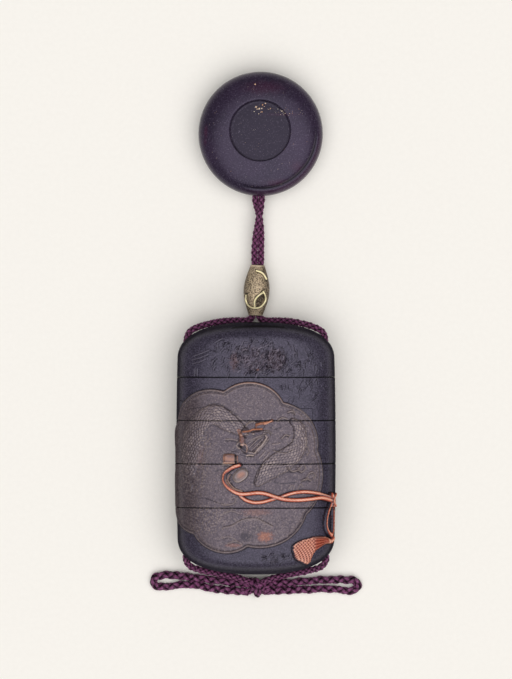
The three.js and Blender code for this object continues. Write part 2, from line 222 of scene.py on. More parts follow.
class Relief:
    """Heights and paint over the unrolled case, at places s round it and y along it."""

    # The light layer holds painted highlights and the dark layer painted shade, with a few dark patches of
    # the lacquer's own colour; ground, warm and red are colours of the lacquer.
    LAYERS = ("ground", "light", "dark", "warm", "red")

    def __init__(self, s, y):
        self.s, self.y = s, y
        self.height = np.zeros(s.shape)
        for layer in self.LAYERS:
            setattr(self, layer, np.zeros(s.shape))

    def near(self, line, margin):
        """Which places lie in the box round a line."""
        low, high = line[:, :2].min(0) - margin, line[:, :2].max(0) + margin
        inside = (self.s > low[0]) & (self.s < high[0]) & (self.y > low[1]) & (self.y < high[1])
        return np.nonzero(inside)[0]

    def measure(self, line, margin):
        """The places near a line, with their distance from it, place along it, side and width."""
        at = self.near(line, margin)
        s, y = self.s[at], self.y[at]
        best = np.full(s.shape, 1e3)
        along, side, width = (np.zeros(s.shape) for _ in range(3))
        done = 0.0
        for start, end in zip(line[:-1], line[1:]):
            ds, dy = (end - start)[:2]
            length = math.hypot(ds, dy)
            if length == 0 or not s.size:
                continue
            t = np.clip(((s - start[0]) * ds + (y - start[1]) * dy) / length ** 2, 0, 1)
            off_s, off_y = s - start[0] - t * ds, y - start[1] - t * dy
            distance = np.hypot(off_s, off_y)
            closer = distance < best
            best = np.where(closer, distance, best)
            along = np.where(closer, done + t * length, along)
            side = np.where(closer, np.sign(ds * off_y - dy * off_s) * distance, side)
            if line.shape[1] > 2:
                width = np.where(closer, start[2] + t * (end[2] - start[2]), width)
            done += length
        return at, best, along, side, width

    def paint(self, layer, at, amount):
        """Adds paint, where there is not as much already."""
        values = getattr(self, layer)
        values[at] = np.maximum(values[at], np.clip(amount, 0, 1))

    def wipe(self, at, amount):
        """Takes away the paint under what lies on top."""
        for layer in ("light", "dark", "warm"):
            getattr(self, layer)[at] *= 1 - np.clip(amount, 0, 1)

    def raise_to(self, at, top, cover):
        """Lifts the surface to a height where something lies over it."""
        lifted = np.maximum(self.height[at], top)
        self.height[at] = np.where(cover > COVER_EDGE, lifted, self.height[at])

    def stroke(self, points, radius, height, light=0.0, dark=0.0, warm=0.0):
        """A rounded ridge along a line, or a groove where the height is negative, with painted highlight,
        painted shade and warm colour along it.
        """
        line = smooth_line(on_front(points))
        at, distance, *_ = self.measure(line, radius + STROKE_MARGIN)
        if not at.size:
            return
        self.height[at] += height * dome(distance, radius)
        for layer, amount in (("light", light), ("dark", dark), ("warm", warm)):
            if amount:
                self.paint(layer, at, amount * smoothstep(radius, 0.55 * radius, distance))

    def edged_stroke(self, points, ridge, shift, groove, warm=0.0):
        """A ridge of one radius, height and painted highlight, and a groove of one radius, depth and
        painted shade beside it, shifted from it."""
        radius, height, light = ridge
        self.stroke(points, radius, height, light, 0, warm)
        radius, depth, dark = groove
        self.stroke([(x + shift[0], y + shift[1]) for x, y in points], radius, -depth, 0, dark)

    def rubbed_patches(self, patches, dots_mm, seed, out, ragged):
        """Oval patches of paint with ragged edges, each a centre, a reach, an amount and a layer."""
        for (x, y), (wide, high), amount, layer in patches:
            reach = np.hypot((self.s - unrolled(x, y)) / wide, (self.y - y) / high)
            patchy, _ = cell_noise(self.s, self.y, dots_mm, seed)
            edge = smoothstep(out, 0.5, reach + ragged * patchy)
            self.paint(layer, np.arange(self.s.size), amount * edge)

    def scaly_body(self, points, height, pitch):
        """A rounded body along a line of x, y and half width, covered with scales."""
        line = smooth_line(on_front(points))
        at, distance, along, side, width = self.measure(line, np.max(line[:, 2]) + 0.5)
        if not at.size:
            return
        inside = smoothstep(width, width - 0.45, distance)
        body = dome(distance, width)
        bumps = scale_bumps(along, side, pitch)
        _, worn = cell_noise(self.s[at], self.y[at], 1.3, 51)
        base = np.maximum(self.height[at], PLATE_RAISE)
        self.height[at] = np.maximum(base, base + (height * body + 0.17 * bumps - 0.04) * inside)
        self.wipe(at, inside)
        # Painted shade between the scales and along the body's edge, and painted highlights on the scales'
        # crowns, varied by wear.
        self.paint("dark", at, 0.9 * inside * smoothstep(0.6, 0.1, bumps))
        self.paint("light", at, (0.2 + 0.5 * worn ** 2) * inside * smoothstep(0.6, 1.0, bumps))
        self.paint("dark", at, 0.62 * band(distance, width, 0.2))


# ---- the raised work, in millimetres as seen from the front -------------------------------------

MEDALLION_CENTRE = (-6.1, -6.4)
MEDALLION_NOTCHES = (         # turn in degrees and distance from the centre, round the unrolled front
    (100.3, 26.5), (145.5, 27.4), (191, 27.5), (235.4, 27.5), (276.9, 27.0), (325.7, 28.3),
    (372, 28.0), (415.4, 27.1),
)
MEDALLION_CREST = 29.7
MEDALLION_RIM = ((0.5, 0.26, 0.24), (1.1, 0.2, -0.12), (1.7, 0.25, 0.07))   # middle, width, height
MEDALLION_MARGIN = 60        # wide enough for the whole plate
LOBE_STEPS = 16
PLATE_RAISE = 0.3

DRAGON_NECK = (
    (-4.6, 5.8, 1.9), (-6.8, 7.6, 2.7), (-9.4, 9.2, 3.3), (-12.6, 11.3, 3.5), (-15.6, 11.3, 3.4),
    (-18.5, 9, 3.5), (-20.6, 5.6, 3.9), (-21.7, 1.6, 4.1), (-22.1, -2.6, 3.7), (-22.6, -7.4, 2.6),
)
DRAGON_COIL = (
    (12.3, 9.3, 1.3), (14.1, 7.7, 2), (14.8, 4.6, 2.4), (14.2, 1, 2.9), (11.8, -2, 3.5),
    (8.6, -4.3, 3.9), (5, -6.7, 3.6), (2.4, -9.2, 2.7), (0.6, -11.4, 1.5),
)


def medallion_outline():
    """The lobed outline on the unrolled front: an arc between each notch and the next."""
    centre = np.array([unrolled(MEDALLION_CENTRE[0], 0), MEDALLION_CENTRE[1]])
    notches = []
    for turn, distance in MEDALLION_NOTCHES:
        angle = math.radians(turn)
        notches.append(centre + distance * np.array([math.cos(angle), math.sin(angle)]))
    rows = []
    for start, end in zip(notches, notches[1:] + notches[:1]):
        middle = (start + end) / 2
        outward = (middle - centre) / np.linalg.norm(middle - centre)
        rise = MEDALLION_CREST - np.linalg.norm(middle - centre)
        half = np.linalg.norm(end - start) / 2
        radius = (half ** 2 + rise ** 2) / (2 * rise)
        hub = middle + outward * (rise - radius)
        along = (end - start) / (2 * half)
        for step in range(LOBE_STEPS):
            sweep = math.asin(half / radius) * (2 * step / LOBE_STEPS - 1)
            rows.append(hub + radius * (math.cos(sweep) * outward + math.sin(sweep) * along))
    return np.array(rows + rows[:1])


def carve_medallion(relief):
    """The plate, its double raised rim with painted highlights and painted shade, and its mottled ground.
    """
    at, distance, _, side, _ = relief.measure(medallion_outline(), MEDALLION_MARGIN)
    if not at.size:
        return
    s, y = relief.s[at], relief.y[at]
    deep = np.where(side > 0, distance, -distance)
    relief.height[at] += PLATE_RAISE * smoothstep(-0.15, 0.2, deep)
    relief.paint("ground", at, smoothstep(-0.05, 0.2, deep))
    for middle, width, height in MEDALLION_RIM:
        relief.height[at] += height * band(deep, middle, width)
    # Painted highlights along the rim, brighter towards the top and the right, and painted shade on either
    # side of it.
    upper = smoothstep(-2, 19, y) * smoothstep(15, 3, np.abs(s + 0.5))
    right = smoothstep(2, 12, s) * smoothstep(-6, 6, y)
    relief.paint("light", at, (0.34 + 0.5 * upper + 0.12 * right) * band(deep, 0.5, 0.17))
    relief.paint("light", at, 0.13 * band(deep, 1.7, 0.22))
    relief.paint("warm", at, 0.34 * upper * band(deep, 0.3, 0.2))
    relief.paint("dark", at, 0.7 * band(deep, -0.05, 0.2))
    relief.paint("dark", at, 0.6 * band(deep, 1.02, 0.2))
    distance, value = cell_noise(s, y, 0.62, 61)
    grain = smoothstep(0.55, 0.1, distance) * smoothstep(-0.05, 0.2, deep)
    relief.height[at] += 0.035 * grain * value
    relief.paint("light", at, 0.38 * grain * smoothstep(0.6, 1, value))
    relief.paint("dark", at, 0.5 * grain * smoothstep(0.4, 0, value))


def stipple(relief, centre, reach, size, light, seed):
    """A patch of small raised dots that thins out towards its edge, with painted highlights on the dots and
    painted shade between them.
    """
    s0, y0 = unrolled(centre[0], centre[1]), centre[1]
    box = np.array([[s0 - reach[0], y0 - reach[1]], [s0 + reach[0], y0 + reach[1]]])
    at = relief.near(box, 0)
    if not at.size:
        return
    s, y = relief.s[at], relief.y[at]
    fade = smoothstep(1, 0.45, np.hypot((s - s0) / reach[0], (y - y0) / reach[1]))
    distance, value = cell_noise(s, y, size, seed)
    dot = smoothstep(0.5, 0.12, distance) * fade * (value > 0.3)
    relief.height[at] += 0.1 * dot
    relief.paint("light", at, light * dot * value)
    relief.paint("dark", at, 0.5 * light * fade * smoothstep(0.45, 0.8, distance))


# Each patch of small dots: centre, reach, size of dot, light (the strength of its painted highlights and
# shade) and seed.
STIPPLED = (
    ((-21, -9), (8, 11), 0.8, 0.6, 11), ((-16, -24), (10, 7), 0.82, 0.6, 12),
    ((-19, 3), (7, 9), 0.8, 0.55, 16), ((-11.5, -12), (5, 6), 0.75, 0.16, 13),
    ((-1, 16), (11, 6), 0.7, 0.16, 14), ((8, -26), (10, 6), 0.75, 0.34, 15),
    ((15, 6), (5, 12), 0.75, 0.22, 17), ((-2, -24.5), (9, 5), 0.7, 0.42, 18),
)
CURLS = (
    ((-11.4, -18.8), (-9.2, -18.9), (-7.4, -18.4), (-6.6, -17.2), (-7.3, -16.3), (-8.3, -16.9)),
    ((10.8, -13.4), (11.6, -12.4), (12.6, -12.6), (12.5, -13.6)),
    ((13.6, -14), (14.2, -12.8), (14.8, -11.9), (15.5, -12.9)),
    ((-24.6, -6), (-23.2, -4.2), (-21.6, -4.8), (-21.8, -6.6), (-23.2, -6.8)),
    ((-25.4, -13), (-23.6, -11.4), (-21.8, -12.2), (-22, -14), (-23.4, -14.2)),
    ((-11.2, -30.2), (-9.2, -29.7), (-7.2, -30.4), (-5.8, -31.6)),
    ((-9.4, -32), (-6.8, -31.2), (-4.6, -32.2)),
    ((-10.4, -21.6), (-8, -21), (-5.6, -21.8)),
)
CLOUD_GROOVES = (
    ((-17.2, -16.6), (-14.6, -17.5), (-12, -18.4)), ((-22.6, 13.3), (-20, 13.9), (-17.6, 14)),
    ((5.8, -11.2), (9, -11.7), (13.4, -11.2)), ((-13.6, -7.6), (-11.8, -7), (-10, -7.4)),
)
HILL = (
    (-10.8, -26.2), (-8, -25.5), (-5.4, -24), (-2.6, -23.2), (0.4, -23.3), (2.9, -24.5), (5.4, -25.8),
)
# Each rubbed patch: centre, reach, amount and layer of paint.
MEDALLION_PATCHES = (
    ((3, -29.6), (3.8, 2.6), 0.62, "warm"), ((-7.4, -32.6), (4, 1), 0.3, "warm"),
    ((0, -21.5), (7, 2), 0.2, "warm"), ((-3.2, -29.6), (3.4, 2.6), 0.75, "dark"),
    ((0.6, -27.2), (3, 1.4), 0.45, "dark"), ((-20, -2), (4, 6), 0.12, "warm"),
)


def carve_clouds(relief):
    """The stippled cloud and water behind the dragon, with its curls and its low hill."""
    for patch in STIPPLED:
        stipple(relief, *patch)
    for curl in CURLS:
        relief.edged_stroke(curl, (0.3, 0.14, 0.26), (0.2, -0.36), (0.2, 0.06, 0.5))
    # Painted shade in the cloud grooves, and a painted highlight on the hill over a groove of painted
    # shade.
    for line in CLOUD_GROOVES:
        relief.stroke(line, 0.24, -0.1, dark=0.75)
    relief.stroke([(x, y - 0.5) for x, y in HILL], 0.45, 0.16, light=0.22)
    relief.stroke(HILL, 0.2, -0.1, dark=0.55)
    relief.rubbed_patches(MEDALLION_PATCHES, 0.9, 21, 1.1, 0.45)


DRAGON_FOLDS = (
    ((5.7, -0.1), (8.1, -0.8), (10, -1.1), (12.2, -0.1)),
    ((-16.4, 15), (-14.4, 15.5), (-12, 15.2), (-9.6, 13.8), (-7.8, 12.7), (-5.5, 10.7)),
    ((-10.2, 2.8), (-8, 2.8), (-6.2, 2.4)), ((-8.6, -0.8), (-7.2, -0.7), (-6, -1)),
    ((-5.2, -1.6), (-4.4, -2.1), (-3.5, -2.5)), ((6.2, -11), (7, -9.4), (9, -8.2), (11.8, -7.7)),
    ((0, -11), (0.6, -8.4), (2, -5.4)), ((4.9, 7.3), (6.6, 6.8), (8.2, 7.4)),
)
DRAGON_RIDGES = (
    ((-10, 3.3), (-8, 3.3), (-6.1, 2.9)), ((5.5, 1.6), (6.8, 1.7), (8, 2)),
    ((1.1, -3), (2.2, -1.9), (3.1, -0.8)), ((2.4, -3.6), (3.6, -2.4), (4.4, -1.2)),
    ((5.9, -0.6), (8.2, -1.3), (10.2, -1.6)), ((-6.2, 11.2), (-4.2, 9.4), (-3.2, 8.6)),
)
# The skull, snout, jaw and cheek, which stand over the neck: points, radius and height.
DRAGON_SKULL = (
    (((1.6, 7.8), (-0.4, 8), (-2.2, 7.3), (-3.6, 5.9)), 1.4, 0.5),
    (((-3.4, 6.2), (-4.4, 4.8), (-4.8, 3.2), (-4.6, 1.8)), 1.15, 0.5),
    (((-4.6, 0.4), (-3.4, -0.7), (-1.8, -1.5), (-0.2, -1.4)), 0.85, 0.35),
    (((-2.6, 4.6), (-0.6, 4.6), (1.8, 5.2), (3.8, 5.1)), 1.3, 0.35),
)
# The lines of the face, from the horn to the chin: points, radius, height, light (painted highlight), dark
# (painted shade) and warm.
DRAGON_FACE = (
    (((-5.4, 6.2), (-4.7, 4.6), (-4.5, 2.6)), 0.85, 0.12, 0, 0.25, 0.42),
    (((0.2, 8.3), (1.6, 8.7), (2.9, 8.8), (4.2, 9.3), (5.4, 9.6)), 0.5, 0.45, 0.12, 0, 0.85),
    (((2.7, 8.4), (3.5, 8.6), (4.2, 9), (5, 9.6)), 0.24, 0.12, 0.8, 0, 0.6),
    (((-0.3, 6.9), (0.1, 7.8), (0.6, 8.6)), 0.35, 0.15, 0, 0.3, 0.5),
    (((-3.8, 5.9), (-2.2, 6.1), (-1.1, 6.6), (0.4, 6.7), (1.9, 6.8)), 0.36, 0.4, 0.15, 0, 0.85),
    (((-1.6, 5.7), (0, 6.1), (1.6, 6.2)), 0.24, -0.1, 0, 0.85),
    (((-3.4, 7.8), (-2.3, 8.8), (-0.8, 9.4), (-0.4, 9)), 0.32, 0.22, 0.5),
    (((-1, 5.1), (-0.7, 5.1)), 0.3, 0.25, 0.85),
    (((-1.5, 4.7), (-0.6, 4.5), (0.3, 5)), 0.18, -0.06, 0, 0.7),
    (((-4.9, 4.8), (-4.5, 4.6)), 0.36, 0.2, 0.75, 0, 0.2),
    (((-4.7, 1.5), (-4.2, 1.4)), 0.42, 0.25, 0.8, 0, 0.3),
    (((-3.2, 5), (-2.6, 4.9)), 0.22, 0.12, 0.6),
    (((-5.5, 2.4), (-6.1, 1.8), (-6.3, 1), (-5.8, 0.3), (-5.2, 0.2)), 0.28, 0.25, 0.6),
    (((-3.9, 1.8), (-3.2, 1.3), (-2.9, 0.3), (-3, -0.9)), 0.26, 0.22, 0.62, 0, 0.2),
    (((-5, 0.8), (-4.2, 0.3), (-3.6, -0.3)), 0.45, -0.2, 0, 0.9),
    (((-4.6, -0.9), (-3.8, -1.4), (-3.2, -1.5)), 0.3, -0.12, 0, 0.75),
    (((-3.1, -2.2), (-2.1, -2), (-0.9, -2.2)), 0.26, 0.25, 1),
    (((-2.9, -2.6), (-1.9, -2.5), (-0.7, -2.6)), 0.2, -0.1, 0, 0.95),
    (((-2.3, -1.1), (-1.3, -1.2), (-0.7, -1.6)), 0.24, 0.16, 0.5),
)
DRAGON_PITS = ((-3.8, 7.8), (-0.4, 7.4), (-4.4, 6.6), (-5.5, 1.1), (-3.6, 4.1), (4.6, 5.6))
DRAGON_MANE = (
    ((-2.6, 1.8), (-1.3, 2.7), (0, 3.6), (1.6, 4.3)), ((-2, 0.7), (-0.7, 2), (0.6, 3.3), (2, 4)),
    ((-1.1, -0.1), (0.4, 1.4), (1.7, 2.9)), ((-1.9, 2.9), (-0.6, 3.7), (1, 4.4), (2.6, 4.8)),
    ((0.9, 0.6), (2, 1.9), (3, 3.4)), ((0.6, -0.9), (1.9, 0.5), (3.2, 1.9), (4.2, 3.4)),
    ((2.4, 5.3), (3.6, 5.6), (4.8, 5)), ((2.6, 6), (4, 6.2), (5.4, 5.2)),
)
DRAGON_WHISKER = ((-0.4, -1.4), (0.7, 0.1), (2, 1.4), (3, 2.9), (3.5, 3.9), (3.1, 4.6))
CLAWS_AND_FLAMES = (
    ((10.4, -6.2), (12, -7.5), (14, -7), (15.1, -5.6)),
    ((16.4, -10.6), (17.4, -8.8), (18.6, -7.9), (19.6, -8.8), (19, -10.2)),
    ((15.2, -10.8), (16.6, -10.1), (18.2, -10.7)),
    ((13.6, -6.4), (15, -7.8), (16.3, -6.8), (15.9, -5.4)),
    ((16.9, 0.8), (17.5, -0.8), (16.9, -2.2)), ((8.6, 3.6), (9.8, 4.8), (11, 4.4)),
    ((7.2, 9.6), (8.6, 10.6), (10.2, 10.2)), ((10.6, 12.4), (12, 12.8), (13, 11.8)),
)
SCALE_PITCH = 1.0


def carve_dragon(relief):
    """The scaled coils, the head with its horn, brow, jaw and mane, and the claws, with painted highlights
    on their ridges and painted shade in their folds, pits and grooves.
    """
    relief.scaly_body(DRAGON_NECK, 0.4, SCALE_PITCH)
    relief.scaly_body(DRAGON_COIL, 0.42, SCALE_PITCH)
    for line in DRAGON_FOLDS:
        relief.stroke(line, 0.24, -0.1, dark=0.62)
    for line in DRAGON_RIDGES:
        relief.stroke(line, 0.28, 0.14, light=0.3)
    for points, radius, height in DRAGON_SKULL:
        line = smooth_line(on_front(points))
        at, distance, *_ = relief.measure(line, radius)
        relief.wipe(at, smoothstep(radius, 0.7 * radius, distance))
        relief.stroke(points, radius, height, dark=0.12)
    for face_line in DRAGON_FACE:
        relief.stroke(*face_line)
    # Painted shade in the pits.
    for x, y in DRAGON_PITS:
        relief.stroke(((x - 0.1, y), (x + 0.15, y - 0.2)), 0.32, -0.14, dark=0.9)
    for strand in DRAGON_MANE:
        relief.edged_stroke(strand, (0.26, 0.18, 0.26), (0.22, -0.32), (0.18, 0.06, 0.6))
    relief.stroke(DRAGON_WHISKER, 0.34, 0.34, light=0.72)
    for claw in CLAWS_AND_FLAMES:
        relief.edged_stroke(claw, (0.32, 0.26, 0.36), (-0.1, -0.42), (0.2, 0.08, 0.7))


RED_OUTER = (
    (-5.3, -5.4), (-6.6, -5.8), (-7.9, -6.4), (-10, -7.95), (-10.6, -9.5), (-10.5, -11), (-9.3, -12.8),
    (-7.5, -14.2), (-5.5, -15.1), (-3.4, -15.2), (0.4, -14.8), (3, -15.1), (6, -16.1), (9, -17),
    (13, -17.3), (17.5, -17), (21, -16.6), (24, -17.3), (25.9, -18.1),
)
RED_INNER = (
    (-5.2, -15.8), (-3.6, -17.1), (-2.2, -17.7), (-0.4, -18.1), (2.2, -17.9), (5, -17.1),
    (7.6, -16.4), (10, -15.5), (12.6, -14.8), (16, -14.5), (20, -15), (23, -15.9), (25.6, -17),
)
TAN_INNER = ((-8.5, -8.8), (-9.1, -9.8), (-9.1, -11), (-7.9, -12.6), (-6.7, -13.6), (-4.6, -14.3))
RED_LOOP = ((25, -18.6), (24.1, -21), (23.5, -23.6), (23.4, -26.2), (23.9, -28), (24.8, -29.3))
RED_LOOP_BACK = ((25.6, -18.6), (25.7, -21.4), (25.7, -25), (25.6, -28), (25.2, -29.7))
TASSEL_STEM = ((25.8, -30.6), (25, -31.4), (23.6, -31.2))
# Each length of the raised cord, in the order that they lie: points, radius and how far it is raised.
RED_LENGTHS = (
    (RED_INNER, 0.64, 0), (RED_OUTER, 0.72, 0.22), (RED_LOOP_BACK, 0.7, 0), (RED_LOOP, 0.8, 0),
    (TASSEL_STEM, 0.9, 0), (((25.2, -16), (25.9, -17.6), (25.7, -19.4)), 1.2, 0.1),
    (((26.3, -15.6), (25.4, -17.8), (26.2, -19.4)), 0.75, 0.25),
)
TWIST_PITCH = 1.1


def raised_patch(relief, centre, half, turn_deg, power, height):
    """A rounded boss with a line of painted shade round it; returns its places and how far out each lies.
    """
    s0, y0 = unrolled(centre[0], centre[1]), centre[1]
    at = relief.near(np.array([[s0, y0]]), max(half) + 1)
    turn = math.radians(turn_deg)
    ds, dy = relief.s[at] - s0, relief.y[at] - y0
    u = (ds * math.cos(turn) + dy * math.sin(turn)) / half[0]
    v = (dy * math.cos(turn) - ds * math.sin(turn)) / half[1]
    out = (np.abs(u) ** power + np.abs(v) ** power) ** (1 / power)
    inside = smoothstep(1.02, 0.9, out)
    relief.wipe(at, inside)
    relief.height[at] += height * smoothstep(1.05, 0.7, out)
    relief.paint("dark", at, 0.85 * band(out, 1.06, 0.07))
    return at, u, v, out, inside


# The folds round the knob: points, radius, height, light (painted highlight), dark (painted shade) and
# warm.
KNOB_LINES = (
    (((-11, -4.75), (-9, -4.65), (-7, -4.7)), 0.26, 0.2, 0.9),
    (((-11.1, -5.35), (-9.6, -5.25), (-8.2, -5.4)), 0.24, 0.15, 0.55),
    (((-11, -5.9), (-9.9, -5.75), (-8.6, -5.9)), 0.24, -0.12, 0, 0.95),
    (((-6.65, -2), (-6.75, -3.4), (-6.5, -4.8)), 0.28, -0.15, 0, 0.95),
    (((-6.1, -2.4), (-6.15, -3.6), (-6, -4.6)), 0.26, 0.2, 0.2, 0, 0.5),
)


def carve_knob(relief):
    """The small rolled knob and the shell-shaped catch that the cord is tied to."""
    at, u, v, _, inside = raised_patch(relief, (-8.85, -3.3), (2.2, 1.75), 0, 5, 0.55)
    # Bands of warm colour, painted highlight and painted shade across the rolled knob.
    bands = 0.5 + 0.5 * np.cos(5 * v + 0.6 * np.sin(3 * u))
    relief.paint("warm", at, inside * (0.3 + 0.2 * bands))
    relief.paint("light", at, inside * (0.06 + 0.24 * bands))
    relief.paint("dark", at, inside * 0.2 * (1 - bands))
    for knob_line in KNOB_LINES:
        relief.stroke(*knob_line)
    at, u, v, out, inside = raised_patch(relief, (-5.2, -8.9), (2.85, 2.0), 38, 2.4, 0.5)
    relief.paint("light", at, 0.3 * inside)
    relief.paint("warm", at, 0.5 * inside * smoothstep(0.75, 0.2, np.hypot(u - 0.15, v + 0.1)))
    relief.paint("dark", at, 0.75 * inside * band(v, -0.35, 0.12) * (np.abs(u) < 0.5))
    # A painted highlight along the shell's lower rim.
    rim = band(out, 0.88, 0.09) * smoothstep(0.1, -0.3, v)
    relief.height[at] += 0.15 * rim
    relief.paint("light", at, 0.8 * rim)


def carve_red_cord(relief):
    """The knob and the coral cord that hangs from it, with its knot, loop and tassel, with painted shade
    and painted highlights.
    """
    carve_knob(relief)
    relief.edged_stroke(TAN_INNER, (0.34, 0.32, 0.55), (0.38, 0.1), (0.2, 0.08, 0.8), warm=0.3)
    for points, radius, over in RED_LENGTHS:
        line = smooth_line(on_front(points))
        at, distance, along, side, *_ = relief.measure(line, radius + 0.6)
        if not at.size:
            continue
        # Painted shadow just outside the cord, painted shade on its sides and in its twists, and painted
        # highlights along its crest, varied by rubbing.
        shoulder = band(distance, radius + 0.12, 0.2)
        relief.paint("dark", at, 0.9 * shoulder)
        relief.red[at] *= 1 - 0.8 * shoulder * (distance > radius)
        cover = smoothstep(radius + 0.04, radius - 0.14, distance)
        relief.wipe(at, cover)
        twist = 0.5 + 0.5 * np.cos(2 * math.pi * (along / TWIST_PITCH + 0.8 * side / radius))
        _, rubbed = cell_noise(along, side * 0, 3.4, 71)
        body = dome(distance, radius)
        relief.raise_to(at, PLATE_RAISE + 0.1 + over + 0.6 * body + 0.07 * twist * body, cover)
        relief.paint("red", at, cover)
        relief.paint("dark", at, 0.75 * cover * smoothstep(0.55, 1, distance / radius))
        relief.paint("dark", at, 0.3 * cover * (1 - twist) * smoothstep(0.1, 0.8, distance / radius))
        crest = smoothstep(0.82, 1, body) * (0.3 + 0.45 * twist + 0.45 * rubbed)
        relief.paint("light", at, cover * np.clip(crest, 0, 0.95))
    carve_tassel(relief)


TASSEL_OUTLINE = (
    (24.4, -30.4), (22.9, -29.8), (21, -29.7), (19.2, -29.9), (17, -30.4), (14.9, -31), (12.9, -32.1),
    (12, -33.2), (12.2, -35.2), (13, -37.2), (14.7, -38.2), (16.4, -39.2), (18, -38.2), (18.6, -36.9),
    (19.6, -35), (21.4, -33.5), (23, -32.4), (24.5, -31.9),
)
TASSEL_NECK = (25.6, -30.6)
TASSEL_RIBS = 44.0
NET_PITCH = 0.85             # cells of the net to a millimetre


def carve_tassel(relief):
    """A flared skirt of cords bound at the neck, netted towards its lower left."""
    line = smooth_line(on_front(TASSEL_OUTLINE + TASSEL_OUTLINE[:1]))
    at, distance, _, side, _ = relief.measure(line, 1)
    deep = np.where(side > 0, distance, -distance)
    s0, y0 = unrolled(*TASSEL_NECK), TASSEL_NECK[1]
    ds, dy = relief.s[at] - s0, relief.y[at] - y0
    out, turn = np.hypot(ds, dy), np.arctan2(-dy, -ds)
    inside = smoothstep(-0.1, 0.12, deep)
    ribs = 0.5 + 0.5 * np.cos(TASSEL_RIBS * turn)
    net = smoothstep(7.4, 9, out) * smoothstep(0.95, 0.75, turn)
    pitch = 2 * math.pi * NET_PITCH
    mesh = np.maximum(np.cos(pitch * (ds + dy)), np.cos(pitch * (ds - dy)))
    texture = (1 - net) * ribs + net * smoothstep(-0.2, 0.95, mesh)
    round_edge = smoothstep(-0.1, 1.1, deep)
    relief.wipe(at, inside)
    relief.raise_to(at, PLATE_RAISE + 0.2 + 0.3 * round_edge + 0.2 * texture, inside)
    relief.paint("red", at, inside)
    # Painted shade between the ribs and the net's cords and towards the edge, painted highlights on them
    # and on the collar, and a painted shadow round the outline.
    shadow = 0.24 + (0.5 + 0.2 * net) * (1 - texture) + 0.3 * (1 - round_edge)
    relief.paint("dark", at, inside * np.minimum(shadow, 0.9))
    lit = (0.12 + 0.5 * net) * texture ** 3 + 0.3 * band(deep, 0.25, 0.2)
    relief.paint("light", at, inside * np.clip(lit, 0, 0.9))
    relief.paint("dark", at, 0.85 * band(deep, -0.2, 0.18))
    collar = band(out, 2.5, 0.45) * inside
    relief.paint("light", at, 0.9 * collar)
    relief.height[at] += 0.15 * collar


LEAF_SHIFT = (0.3, -0.2)
LEAVES_TOP = 41
LID_SEAM = (23.6, 24.8)      # no leaf is rooted here, beside the lid's seam
# Each spray: centre, reach, number of leaves, light (the strength of the leaves' painted highlights) and
# half a leaf's length.
LEAF_SPRAYS = (
    ((0.5, 31), (9.5, 6.5), 210, 0.75, 0.55), ((9, 30), (7, 6), 60, 0.36, 0.8),
    ((-10, 30.5), (6, 5.5), 34, 0.3, 0.8), ((18, 28), (5, 6), 22, 0.22, 1.1),
    ((1, 27), (4, 2.5), 20, 0.4, 0.8), ((15, 20.5), (8, 4.5), 26, 0.22, 0.8),
    ((6.5, -37), (5.5, 1.6), 30, 0.42, 0.8),
)
LID_PATCHES = (
    ((-1.5, 30.5), (9, 6.5), 0.03, "warm"), ((-7.4, 29.5), (2.4, 4.5), 0.09, "warm"),
    ((6.5, 30), (5, 6), 0.04, "warm"), ((-3.4, 33), (2.6, 1.8), 0.6, "dark"),
    ((0.8, 32.2), (1.2, 1.6), 0.6, "dark"), ((0.5, 26.9), (0.7, 0.6), 0.35, "warm"),
    ((-5.7, 26.8), (0.8, 0.8), 0.5, "dark"),
)
GRASSES = (
    ((-21, 31.5), (-18.6, 32.4), (-16, 33.5)), ((-21.6, 30.2), (-19, 30.9), (-16.4, 32)),
    ((-21.4, 29), (-19.4, 29.4), (-17.4, 30.4)), ((-20.8, 27.2), (-20.8, 26), (-20.9, 24.9)),
    ((-20, 27.2), (-20, 26.2), (-20, 25)), ((-14, 36), (-12.8, 36.8), (-11.5, 37.4)),
    ((12.5, 35), (13, 33), (13.8, 31.5), (13.3, 30), (11.8, 28.8)),
    ((-4, 27.6), (-2.9, 27.9), (-1.8, 28.5)), ((2, 35.6), (3, 34.8), (3.8, 34.3)),
    ((1.4, 27), (2.6, 25.8), (3.4, 25)), ((16.5, 33.4), (17.6, 31.6), (17, 29.6)),
)
# A painted dark reflection along the lid's shoulder, under its top edge.
LID_PAINTED_DARK_REFLECTION = ((-8, 41.2), (-3, 41.5), (1, 41.6), (6, 41.5), (10, 41.2))


def leaf_spray(relief, rng, centre, reach, count, light, length):
    """Small overlapping leaves scattered over an oval, thinning out towards its edge."""
    for _ in range(count):
        turn, out = rng.uniform(0, 2 * math.pi), math.sqrt(rng.uniform())
        x = centre[0] + reach[0] * out * math.cos(turn)
        y = centre[1] + reach[1] * out * math.sin(turn)
        if y > LEAVES_TOP or LID_SEAM[0] < y < LID_SEAM[1]:
            continue
        lean = rng.normal(1.1, 0.7)
        dx, dy = length * math.cos(lean), length * math.sin(lean)
        bend = rng.uniform(-0.35, 0.35)
        leaf = ((x - dx, y - dy), (x - bend * dy, y + bend * dx), (x + dx, y + dy))
        ridge = (0.26, 0.12, light * rng.uniform(0.1, 1) ** 2)
        relief.edged_stroke(leaf, ridge, LEAF_SHIFT, (0.2, 0.08, 0.62))


